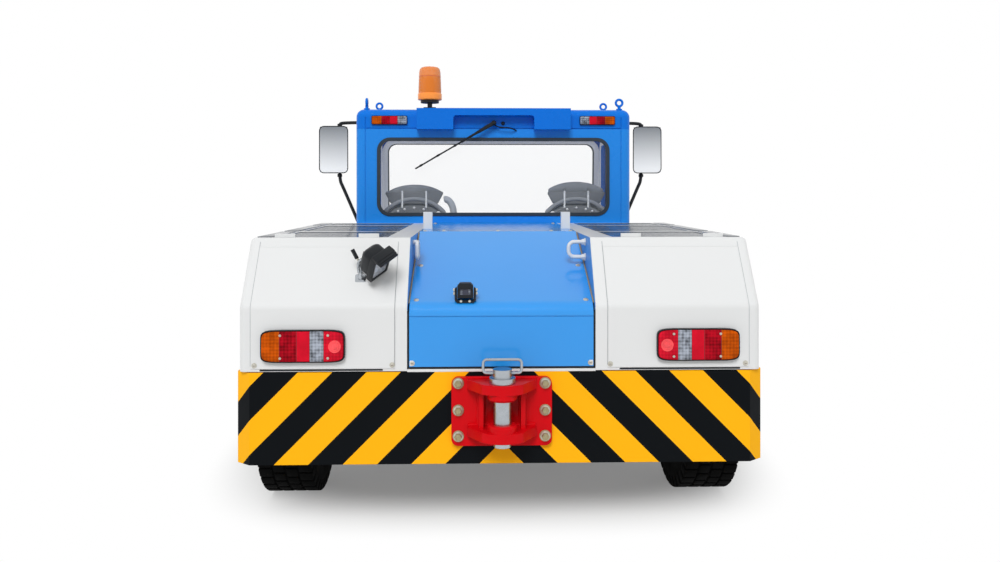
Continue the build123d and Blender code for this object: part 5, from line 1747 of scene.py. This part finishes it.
@dataclass(frozen=True)
class RearCamera:
    """The small camera on the hood's slope. Lengths are in millimetres."""

    x: float = -160.0
    y: float = -2166.0
    z: float = 1039.75
    wide: float = 35.0
    long: float = 35.0
    rise: float = 18.0
    tall: float = 66.0

    def body(self) -> list[Piece]:
        """Model the chamfered case with its hood, dark window, LEDs and lens barrel.

        Returns:
            The pieces.
        """
        low = self.z + self.rise
        high = low + self.tall
        outline = [
            (self.x - self.wide, low), (self.x + self.wide, low), (self.x + self.wide, high - 12),
            (self.x + self.wide - 12, high), (self.x - self.wide + 12, high), (self.x - self.wide, high - 12),
        ]
        case = Bench.prism("case", outline, Axis.Y, self.y - self.long + 10, self.y + self.long, 2.5, 3)
        peak = [(a, max(b, high - 26)) for a, b in outline]
        brim = Bench.prism(
            "brim", [(a, b + 1.2) for a, b in peak], Axis.Y, self.y - self.long, self.y - self.long + 44, 1.5
        )
        face = self.y - self.long + 9
        window = Bench.slab(
            "window", (self.x - 24, face, low + 14), (self.x + 24, face + 4, low + 42), Axis.Y, 4, 0.8, 4
        )
        barrel = Bench.lathe(
            "barrel", [(0, 0), (5, -0.6), (8, -1.6), (8, -3), (11, -3), (11, 2), (0, 2)], Axis.Y,
            (self.x, face, low + 28), 24
        )
        led = Bench.lathe("led", [(0, -2.4), (1.6, -2), (2.4, -0.6), (2.4, 1), (0, 1)], Axis.Y, ORIGIN, 10)
        spots = [
            (self.x + side * a, face, low + b) for side in (-1, 1) for a in (15, 20) for b in (19, 25, 31, 37)
        ]
        leds = Bench.spread(led, spots, "leds")
        for piece, finish in (
            (case, Paint.black), (brim, Paint.black), (window, Paint.screen), (barrel, Paint.screen),
            (leds, Paint.clear),
        ):
            Bench.paint(piece, finish)
        return [case, brim, window, barrel, leds]

    def bracket(self) -> list[Piece]:
        """Model the U bracket with its clamping and fixing screws.

        Returns:
            The pieces.
        """
        reach = self.wide + 12
        low = self.z - 4
        pieces = []
        outline = [
            (self.x - reach, low + 12), (self.x - reach + 10, low), (self.x + reach - 10, low),
            (self.x + reach, low + 12),
            (self.x + reach, low + 62), (self.x + reach - 8, low + 70), (self.x + reach - 10, low + 60),
            (self.x + reach - 10, low + 16), (self.x + reach - 16, low + 9), (self.x - reach + 16, low + 9),
            (self.x - reach + 10, low + 16), (self.x - reach + 10, low + 60), (self.x - reach + 8, low + 70),
            (self.x - reach, low + 62),
        ]
        pieces.append(
            Bench.paint(Bench.prism("strap", outline, Axis.Y, self.y - 16, self.y + 16, 1.2), Paint.black)
        )
        knob = [(0, 0), (8, 0), (8, 4), (6, 7), (0, 8)]
        for side in (-1, 1):
            for z in (40, 56):
                screw = Bench.lathe(
                    "knob", [(r, side * h) for r, h in knob], Axis.X,
                    (self.x + side * reach, self.y, low + z), 14
                )
                pieces.append(Bench.paint(screw, Paint.zinc))
            post = Bench.lathe(
                "post", [(0, -4), (5, -4), (6, -2), (6, 8), (0, 8)], Axis.Y,
                (self.x + side * 19, self.y - 17, low + 8), 12
            )
            pieces.append(Bench.paint(post, Paint.zinc))
        return pieces

    def build(self) -> None:
        """Assemble the camera."""
        Bench.mount(
            Bench.join([*self.body(), *self.bracket()], "camera_unit"), "black_plastic",
            replaces=("rear_camera",)
        )


@dataclass(frozen=True)
class Wiper:
    """The rear wiper under the header, with its hose. Lengths are in millimetres, drop is in degrees."""

    pivot: Point = (0.0, -352.0, 1976.0)
    drop: float = 30.3
    arm: float = 238.0
    reach: float = 598.0
    blade: float = 348.0

    def spot(self, run: float, side: float) -> Pair:
        """Find a point on the arm's plane.

        Args:
            run: Distance from the pivot along the arm.
            side: Distance to the arm's upper side.

        Returns:
            Its place across and its height.
        """
        turn = math.radians(self.drop)
        x = self.pivot[0] - run * math.cos(turn) - side * math.sin(turn)
        return x, self.pivot[2] - run * math.sin(turn) + side * math.cos(turn)

    def bar(self, name: str, halves: list[Pair], low: float, high: float, edge: float) -> Piece:
        """Model a bar along the arm whose width changes on the way.

        Args:
            name: The piece's name.
            halves: Distance from the pivot and half width there, from end to end.
            low: Rear face along Y.
            high: Front face along Y.
            edge: Bevel of the edges.

        Returns:
            The bar.
        """
        outline = [self.spot(run, half) for run, half in halves] + [
            self.spot(run, -half) for run, half in reversed(halves)
        ]
        return Bench.prism(name, outline, Axis.Y, low, high, edge)

    def build(self) -> None:
        """Model the spindle, the tapered arm, the blade with its claws, the hose and the grommet."""
        start, middle, end = self.reach - self.blade, self.reach - self.blade / 2, self.reach
        cap = [(0, -34), (9, -33), (15, -28), (17, -20), (17, -6), (12, -4), (12, 22), (0, 22)]
        pieces = [
            Bench.lathe("cap", cap, Axis.Y, self.pivot, 28),
            self.bar("arm", [(-12, 11), (20, 13), (70, 12), (150, 8), (self.arm, 6)], -380, -362, 3),
            self.bar(
                "knuckle", [(self.arm - 34, 7), (self.arm - 20, 9), (self.arm + 4, 9), (self.arm + 14, 5)],
                -384, -360, 2
            ),
            self.bar("rod", [(self.arm - 10, 4.5), (middle, 4), (middle + 8, 4)], -378, -369, 1.5),
            self.bar(
                "bow", [(start + 40, 2.5), (middle - 20, 5), (middle + 20, 5), (end - 40, 2.5)], -374, -361, 1
            ),
            self.bar("spine", [(start, 4), (start + 4, 5), (end - 4, 5), (end, 4)], -361, -354, 1),
            self.bar("rubber", [(start, 2), (end, 2)], -355, -336, 0.6),
        ]
        for run in (start + 44, middle, end - 44):
            pieces.append(self.bar("claw", [(run - 9, 7), (run + 9, 7)], -368, -352, 1.2))
        hose = [(10, -352, 1962), (34, -362, 1946), (92, -364, 1947), (130, -356, 1938), (150, -334, 1928)]
        pieces.append(Bench.tube("hose", hose, 4.5, 8))
        ring = [(4, -12), (8, -12), (10, -9), (11, -4), (13, -2), (13, 4), (4, 4), (4, -12)]
        pieces.append(Bench.lathe("grommet", ring, Axis.Y, (62, -330, 1976), 20))
        whole = Bench.paint(Bench.join(pieces, "wiper_unit"), Paint.black)
        Bench.mount(whole, "black_plastic", replaces=("rear_wiper",))


@dataclass(frozen=True)
class CabDress:
    """Linings, seals, wipers, instruments and treads of the cab. Lengths are in millimetres."""

    screen_half: float = 827.0
    screen: Pair = (1200.0, 1914.0)
    door_glass: tuple[Point, Point] = ((882.0, -134.0, 1180.0), (888.0, 624.0, 1878.0))
    inside: float = 852.0
    outside: float = 912.0
    wall: float = 55.0
    seal: float = 18.0
    front_foot: Pair = (855.0, 500.0)
    front_lean: float = 120.0 / 1635.0

    def front(self, z: float) -> float:
        """Place of the cab's leaning front face at a height."""
        return self.front_foot[0] - self.front_lean * (z - self.front_foot[1])

    def lining(self) -> None:
        """Line the inside of the front posts and both doors with pale moulded trim that glows with painted
        light.
        """
        z0, z1 = self.screen
        edge = 24.0
        low = (-self.screen_half - edge, -3.0, z0 - edge)
        high = (self.screen_half + edge, 0.0, z1 + edge)
        trim = Bench.ring("screen_lining", low, high, Axis.Y, 85 + edge, edge + self.seal)
        lean = Matrix()
        lean[1][2] = -self.front_lean
        lean[1][3] = (self.front(0) - self.wall) * MM
        trim.data.transform(lean)
        Bench.mount(Bench.paint(trim, Paint.headliner), "grey_plastic")
        (_, y0, b0), (_, y1, b1) = self.door_glass
        edge = 54.0
        low = (self.inside - 3, y0 - edge, b0 - edge)
        high = (self.inside, y1 + edge, b1 + edge)
        trim = Bench.paint(Bench.ring("door_lining_right", low, high, Axis.X, 100, edge), Paint.headliner)
        Bench.mount_pair(trim, "grey_plastic", ("door_right", "door_left"))
        outline = [(704, 1160), (747, 1160), (707, 1760), (704, 1760)]
        post = Bench.paint(
            Bench.prism("post_lining_right", outline, Axis.X, self.inside - 3, self.inside, 0.8),
            Paint.headliner
        )
        Bench.mount_pair(post, "grey_plastic")

    def door_seals(self) -> None:
        """Press a rubber section round each door's glass, on the outside."""
        (_, y0, z0), (x1, y1, z1) = self.door_glass
        low, high = (x1 + 1, y0 - 2, z0 - 2), (self.outside + 4, y1 + 2, z1 + 2)
        seal = Bench.paint(Bench.ring("door_seal_right", low, high, Axis.X, 62, 14), Paint.seal)
        Bench.mount_pair(seal, "rubber", ("door_right", "door_left"))

    def screen_wipers(self) -> None:
        """Park two wipers along the foot of the front screen."""
        pieces = []
        foot = 1176
        for pivot in (-150.0, 520.0):
            line = [
                (pivot, foot, 16), (pivot - 90, 1210, 26), (pivot - 250, 1256, 20), (pivot - 300, 1268, 16)
            ]
            pieces.append(Bench.tube("arm", [(x, self.front(z) + off, z) for x, z, off in line], 7, 8))
            ends = [(pivot - 80, 1226), (pivot - 300, 1262), (pivot - 520, 1284)]
            pieces.append(Bench.tube("blade", [(x, self.front(z) + 10, z) for x, z in ends], 5, 8))
            cap = [(0, 24), (10, 23), (17, 16), (19, 4), (19, -6), (0, -6)]
            pieces.append(Bench.lathe("cap", cap, Axis.Y, (pivot, self.front(foot), foot), 24))
        Bench.mount(Bench.paint(Bench.join(pieces, "screen_wipers"), Paint.black), "black_plastic")

    def instruments(self) -> None:
        """Model the hooded instrument block with three dials, and a row of rocker switches."""
        outline = Seats.arch(150, 1108, 1160, 1206, 150)
        block = Bench.prism("block", [(x - 537, z) for x, z in outline], Axis.Y, 566, 680, 6, 3)
        pieces = [Bench.paint(block, Paint.black)]
        rim = [(24, 0), (30, -4), (34, -9), (38, -9), (40, -4), (40, 3), (24, 3), (24, 0)]
        for x in (-92, 0, 92):
            at = (x - 537, 566, 1146)
            pieces.append(Bench.paint(Bench.lathe("rim", rim, Axis.Y, at, 32), Paint.chrome))
            dial = [(0, -2), (28, -2), (30, 1), (0, 1)]
            pieces.append(Bench.paint(Bench.lathe("dial", dial, Axis.Y, at, 32), Paint.screen))
            hand = Bench.slab("hand", (at[0] - 1.5, 560, 1146), (at[0] + 1.5, 563, 1168), Axis.Y, 1, 0.4, 2)
            pieces.append(Bench.paint(hand, Paint.white))
        rocker = Bench.slab("rocker", (-15, -10, -4), (15, 10, 12), Axis.Z, 3, 1.5, 3)
        lean = Matrix.Rotation(math.atan(40 / 220), 4, "X")
        rocker.data.transform(lean)
        spots = [(x, 590.0, 1121.0) for x in range(-240, 241, 48)]
        pieces.append(Bench.paint(Bench.spread(rocker, spots, "rockers"), Paint.grey))
        Bench.mount(Bench.join(pieces, "instruments"), "black_plastic")

    def treads(self) -> None:
        """Rib the side steps."""
        rib = Bench.slab("rib", (0, -176, 0), (12, 666, 7), Axis.Z, 5, 1.5, 4)
        ribs = Bench.spread(rib, [(x, 0, 433.0) for x in range(930, 1075, 24)], "step_ribs_right")
        Bench.mount_pair(Bench.paint(ribs, Paint.grey), "frame_paint")

    def indicators(self) -> None:
        """Set an amber lamp beside each pair of headlamps."""
        rim = Bench.slab("rim", (640, 2198, 806), (724, 2210, 894), Axis.Y, 12, 2)
        lens = Bench.slab("lens", (647, 2204, 813), (717, 2222, 887), Axis.Y, 8, 5)
        lamp = Bench.join([Bench.paint(rim, Paint.black), Bench.paint(lens, Paint.amber)], "indicator_right")
        Bench.mount_pair(lamp, "amber_lens")

    def build(self) -> None:
        """Dress the cab."""
        self.lining()
        self.door_seals()
        self.screen_wipers()
        self.instruments()
        self.treads()
        self.indicators()


@dataclass(frozen=True)
class Seats:
    """The two padded seats, with the fittings on their backs. Lengths are in millimetres.

    Each place gives the seat's middle across the cab and how far its headrest is drawn up.
    """

    places: tuple[Pair, ...] = ((-537.0, 0.0), (568.0, 20.0))
    pan: float = 840.0
    top: float = 950.0
    crown: float = 1470.0
    back: float = -160.0
    front: float = -50.0
    inset: float = 8.0
    swell_cap: float = 9.0
    swell_steps: int = 20
    voxel: float = 6.0
    firmness: float = 12.0

    @staticmethod
    def arch(half: float, low: float, side: float, crown: float, foot: float) -> list[Pair]:
        """Trace an upright outline with an arched top.

        Args:
            half: Half the width where the arch starts.
            low: Height of the lower edge.
            side: Height where the arch starts.
            crown: Height of the arch's middle.
            foot: Half the width of the lower edge.

        Returns:
            The outline's corners.
        """
        sag = crown - side
        radius = (half * half + sag * sag) / (2 * sag)
        reach = math.asin(half / radius)
        turns = [reach * (1 - step / 9) for step in range(19)]
        return [(-foot, low), (foot, low)] + [
            (radius * math.sin(turn), crown - radius + radius * math.cos(turn)) for turn in turns
        ]

    def swell(self, piece: Piece, pressure: float) -> Piece:
        """Blow a pad up with a cloth simulation, and keep each point near where it started.

        Args:
            piece: The pad's block, slightly smaller than the pad.
            pressure: The filling's pressure.

        Returns:
            The same object, as a filled pad.
        """
        Bench.activate(piece)
        remesh = piece.modifiers.new("skin", "REMESH")
        remesh.mode = "VOXEL"
        remesh.voxel_size = self.voxel * MM
        bpy.ops.object.modifier_apply(modifier=remesh.name)
        starts = [spot.co.copy() for spot in piece.data.vertices]
        cloth = piece.modifiers.new("filling", "CLOTH")
        cloth.settings.quality = 4
        cloth.settings.mass = 0.3
        cloth.settings.tension_stiffness = self.firmness
        cloth.settings.compression_stiffness = self.firmness
        cloth.settings.use_pressure = True
        cloth.settings.uniform_pressure_force = pressure
        cloth.settings.effector_weights.gravity = 0
        for step in range(1, self.swell_steps + 1):
            bpy.context.scene.frame_set(step)
        bpy.ops.object.modifier_apply(modifier=cloth.name)
        bpy.context.scene.frame_set(1)
        for spot, start in zip(piece.data.vertices, starts):
            move = spot.co - start
            if move.length > self.swell_cap * MM:
                spot.co = start + move.normalized() * self.swell_cap * MM
        relax = piece.modifiers.new("relax", "SMOOTH")
        relax.factor = 0.5
        relax.iterations = 3
        bpy.ops.object.modifier_apply(modifier=relax.name)
        bpy.ops.object.shade_smooth()
        return piece

    def pads(self) -> dict[str, Piece]:
        """Model the cushion, the back and the headrest of one seat about the middle of the cab.

        Returns:
            The pads by the CAD node that they stand for.
        """
        cut = self.inset
        cushion = Bench.slab(
            "cushion", (-230 + cut, self.front + 4 + cut, self.pan + cut),
            (230 - cut, 420 - cut, self.top - cut), Axis.Z, 60, 0, 6
        )
        Bench.soften(cushion, 24, 4)
        outline = self.arch(217 - cut, self.pan + cut, 1375, self.crown - cut, 205)
        backrest = Bench.prism("backrest", outline, Axis.Y, self.back + cut, self.front - cut, 22, 4)
        outline = self.arch(205 - cut, 1478 + cut, 1517, 1580 - cut, 181 - cut)
        headrest = Bench.prism("headrest", outline, Axis.Y, -162.7 + cut, -72.7 - cut, 18, 4)
        return {
            "seat_cushions": self.swell(cushion, 5.0), "seat_backs": self.swell(backrest, 5.0),
            "headrests": self.swell(headrest, 4.0),
        }

    def piping(self) -> Piece:
        """Sew welts round the back's front edge and the cushion's top, and a roll round the back's rear edge.

        Returns:
            The welts of one seat.
        """
        arch = self.arch(203, self.pan + 60, 1372, self.crown - 12, 203)[1:]
        runs = []
        line = [(x, self.front - 14, z) for x, z in arch] + [(-203, self.front - 14, self.pan + 60)]
        runs.append(Bench.tube("welt", line, 4.5, 6))
        roll = self.arch(206, 1240, 1378, self.crown + 4, 206)[1:]
        runs.append(
            Bench.tube(
                "roll", [(x, self.back - 4, z) for x, z in roll] + [(-206, self.back - 4, 1240)], 15, 10
            )
        )
        corners = [(-216, -30), (-216, 380), (-190, 406), (190, 406), (216, 380), (216, -30)]
        runs.append(Bench.tube("welt", [(x, y, self.top - 14) for x, y in corners], 4.5, 6))
        return Bench.paint(Bench.join(runs, "piping"), Paint.welt)

    def fittings(self) -> Piece:
        """Model the headrest's posts, the buttons that hold the rear shell and the recliner knob.

        Returns:
            The fittings of one seat, knob on the right.
        """
        pieces = []
        post = [(0, 1330), (8, 1330), (8, 1526), (6.5, 1529), (0, 1530)]
        for x in (-81, 81):
            pieces.append(Bench.paint(Bench.lathe("post", post, Axis.Z, (x, -172, 0), 16), Paint.chrome))
        outline = [
            (-162, 1446), (-152, 1440), (152, 1440), (162, 1446), (196, 1510), (192, 1524), (-192, 1524),
            (-196, 1510)
        ]
        pieces.append(Bench.paint(Bench.prism("shell", outline, Axis.Y, -170, -140, 5, 3), Paint.shell))
        button = Bench.lathe("button", [(0, -5), (5, -4), (8, -1.5), (9, 1), (0, 1)], Axis.Y, ORIGIN, 14)
        spots = [(-108, -180, 1391), (-64, -180, 1404), (0, -180, 1414), (64, -180, 1404)]
        pieces.append(Bench.paint(Bench.spread(button, spots, "buttons"), Paint.white))
        knob = [(0, 8), (12, 8), (12, -4), (6, -6), (5, -18), (15, -20), (16, -26), (12, -30), (0, -30)]
        pieces.append(Bench.paint(Bench.lathe("knob", knob, Axis.Y, (165, -162, 1376), 18), Paint.white))
        bar = Bench.slab("bar", (141, -166, 1366), (189, -160, 1372), Axis.Y, 2, 0.8, 3)
        pieces.append(Bench.paint(bar, Paint.white))
        return Bench.join(pieces, "fittings")

    def armrest(self) -> Piece:
        """Model the raised armrest beside the left-hand seat.

        Returns:
            The armrest, in place.
        """
        line = [
            (-338, -128, 1470), (-318, -128, 1474), (-290, -126, 1450), (-272, -124, 1404),
            (-270, -120, 1330), (-282, -112, 1190), (-296, -104, 1040)
        ]
        pad = Bench.tube("armrest", line, 24, 10)
        return Bench.paint(self.swell(pad, 3.0), Paint.light_cloth)

    def build(self) -> None:
        """Model one seat's pads and fittings, and copy them to both places."""
        pads = self.pads()
        piping, fittings = self.piping(), self.fittings()
        for side, (x, rise) in zip(("left", "right"), self.places):
            for node, pad in pads.items():
                lift = rise if node == "headrests" else 0
                copy = Bench.copy(pad, f"{node[:-1]}_{side}", shift((x, 0, lift)))
                Bench.paint(copy, Paint.cloth)
                Bench.mount(copy, "seat_fabric", replaces=(node,))
            turn = MIRROR if side == "right" else Matrix()
            move = shift((x, 0, 0))
            Bench.mount(Bench.copy(piping, f"seat_piping_{side}", move), "seat_fabric")
            Bench.mount(Bench.copy(fittings, f"seat_fittings_{side}", move @ turn), "grey_plastic")
        Bench.discard(*pads.values(), piping, fittings)
        armrest = Bench.mount(self.armrest(), "seat_fabric")


@dataclass(frozen=True)
class Studio:
    """Camera, light, world and floor. The camera has the photograph's place and lens.

    Places and lengths are in metres, but the lens and the sensor are in millimetres. yaw and sun_spread
    are in degrees. sky gives colours by height, and fade says where the floor starts and ends turning white,
    as shares of shadow_reach.
    """

    eye: Point = (-0.104, -5.9, 1.535)
    lens: float = 30.276
    yaw: float = 1.5
    shift: float = -0.091
    sun_from: Point = (-0.15, -1.0, 0.9)
    sun_power: float = 2.05
    sun_spread: float = 25.0
    sky: tuple[tuple[float, str], ...] = ((0.0, "#C9CDD2"), (0.42, "#F4F5F6"), (0.72, "#FFFFFF"))
    sky_power: float = 0.5
    shade: float = 0.2
    floor_half: float = 30.0
    floor_colour: str = "#D2D2D1"
    shadow_reach: Pair = (1.62, 2.3)
    fade: Pair = (0.55, 1.05)
    sensor: float = 36.0

    def camera(self) -> None:
        """Place the camera level behind the tractor, with the picture shifted down as in the photograph."""
        bpy.ops.object.camera_add(location=self.eye, rotation=(math.pi / 2, 0, -math.radians(self.yaw)))
        camera = bpy.context.object
        camera.data.lens = self.lens
        camera.data.sensor_width = self.sensor
        camera.data.shift_y = self.shift
        bpy.context.scene.camera = camera

    def sun(self) -> None:
        """Add one broad soft sun from the upper left behind the camera."""
        bpy.ops.object.light_add(type="SUN")
        lamp = bpy.context.object
        lamp.rotation_euler = Vector(self.sun_from).to_track_quat("Z", "Y").to_euler()
        lamp.data.energy = self.sun_power
        lamp.data.angle = math.radians(self.sun_spread)
        lamp.visible_glossy = False

    def world(self) -> None:
        """Light from all around, with plain white past the floor, in reflections and through glass too."""
        world = bpy.data.worlds.new("studio")
        bpy.context.scene.world = world
        world.use_nodes = True
        tree = world.node_tree
        tree.nodes.clear()
        around = add_node(tree, "TexCoord", {}).outputs["Generated"]
        axes = add_node(tree, "SeparateXYZ", {}, Vector=around)
        ramp = add_node(tree, "ValToRGB", {}, Fac=axes.outputs["Z"])
        ramp.color_ramp.elements.new(0.5)
        for element, (height, code) in zip(ramp.color_ramp.elements, self.sky):
            element.position = height
            element.color = linear(code)
        sky = add_node(tree, "Background", {"in:Strength": self.sky_power}, Color=ramp.outputs["Color"])
        white = add_node(tree, "Background", {"in:Strength": 1.0, "in:Color": WHITE})
        path = add_node(tree, "LightPath", {})
        plain = path.outputs["Is Camera Ray"]
        for ray in ("Is Glossy Ray", "Is Transmission Ray"):
            plain = calc(tree, "MAXIMUM", plain, path.outputs[ray])
        mixed = add_node(tree, "MixShader", {}, i0=plain, i1=sky.outputs[0], i2=white.outputs[0])
        add_node(tree, "OutputWorld", {}, Surface=mixed.outputs[0])

    def floor(self) -> None:
        """Lay the pale floor, which fades to white away from the tractor and keeps its shadow."""
        bpy.ops.mesh.primitive_plane_add(size=2 * self.floor_half)
        floor = bpy.context.object
        floor.name = "studio_floor"
        material = blank_material("pale_floor")
        tree = material.node_tree
        place = add_node(tree, "TexCoord", {}).outputs["Object"]
        wide, long = self.shadow_reach
        spread = {"in:Location": (0.0, -0.05, 0.0), "in:Scale": (1 / wide, 1 / long, 0.0)}
        near = add_node(tree, "Mapping", spread, Vector=place).outputs["Vector"]
        squared = add_node(tree, "VectorMath", {"operation": "MULTIPLY"}, i0=near, i1=near)
        reach = add_node(tree, "VectorMath", {"operation": "LENGTH"}, i0=squared.outputs["Vector"])
        start, end = self.fade
        span = {
            "in:From Min": start, "in:From Max": end, "in:To Min": self.shade,
            "interpolation_type": "SMOOTHSTEP",
        }
        fade = add_node(tree, "MapRange", span, Value=reach.outputs["Value"])
        path = add_node(tree, "LightPath", {})
        direct = calc(tree, "SUBTRACT", 1.0, path.outputs["Is Diffuse Ray"])
        seen = calc(tree, "MULTIPLY", fade.outputs["Result"], direct)
        matt = add_node(
            tree, "BsdfPrincipled", {"in:Base Color": linear(self.floor_colour), "in:Roughness": 0.9}
        )
        white = add_node(tree, "Emission", {"in:Color": WHITE, "in:Strength": 1.0})
        mixed = add_node(tree, "MixShader", {}, i0=seen, i1=matt.outputs[0], i2=white.outputs[0])
        add_node(tree, "OutputMaterial", {}, Surface=mixed.outputs[0])
        floor.data.materials.append(material)

    def build(self) -> None:
        """Set up the whole studio."""
        self.camera()
        self.sun()
        self.world()
        self.floor()
        bpy.context.scene.view_settings.view_transform = "Standard"


def dress_nodes() -> None:
    """Give every CAD node its finish."""
    for finish, names in NODE_FINISHES:
        for name in names.split():
            Bench.paint(frame["nodes"][name], finish)


def main() -> None:
    """Build the scene: finishes, detailed pieces in order, then the studio."""
    logging.basicConfig(level=logging.INFO, format="%(message)s")
    dress_nodes()
    for assembly in (
        Tyre, HitchDress, Lamps, Mirrors, BodyDress, WorkLamp, RearCamera, Wiper, CabDress, Seats, Studio,
    ):
        assembly().build()
    bpy.context.view_layer.update()


if __name__ == "__main__":
    main()
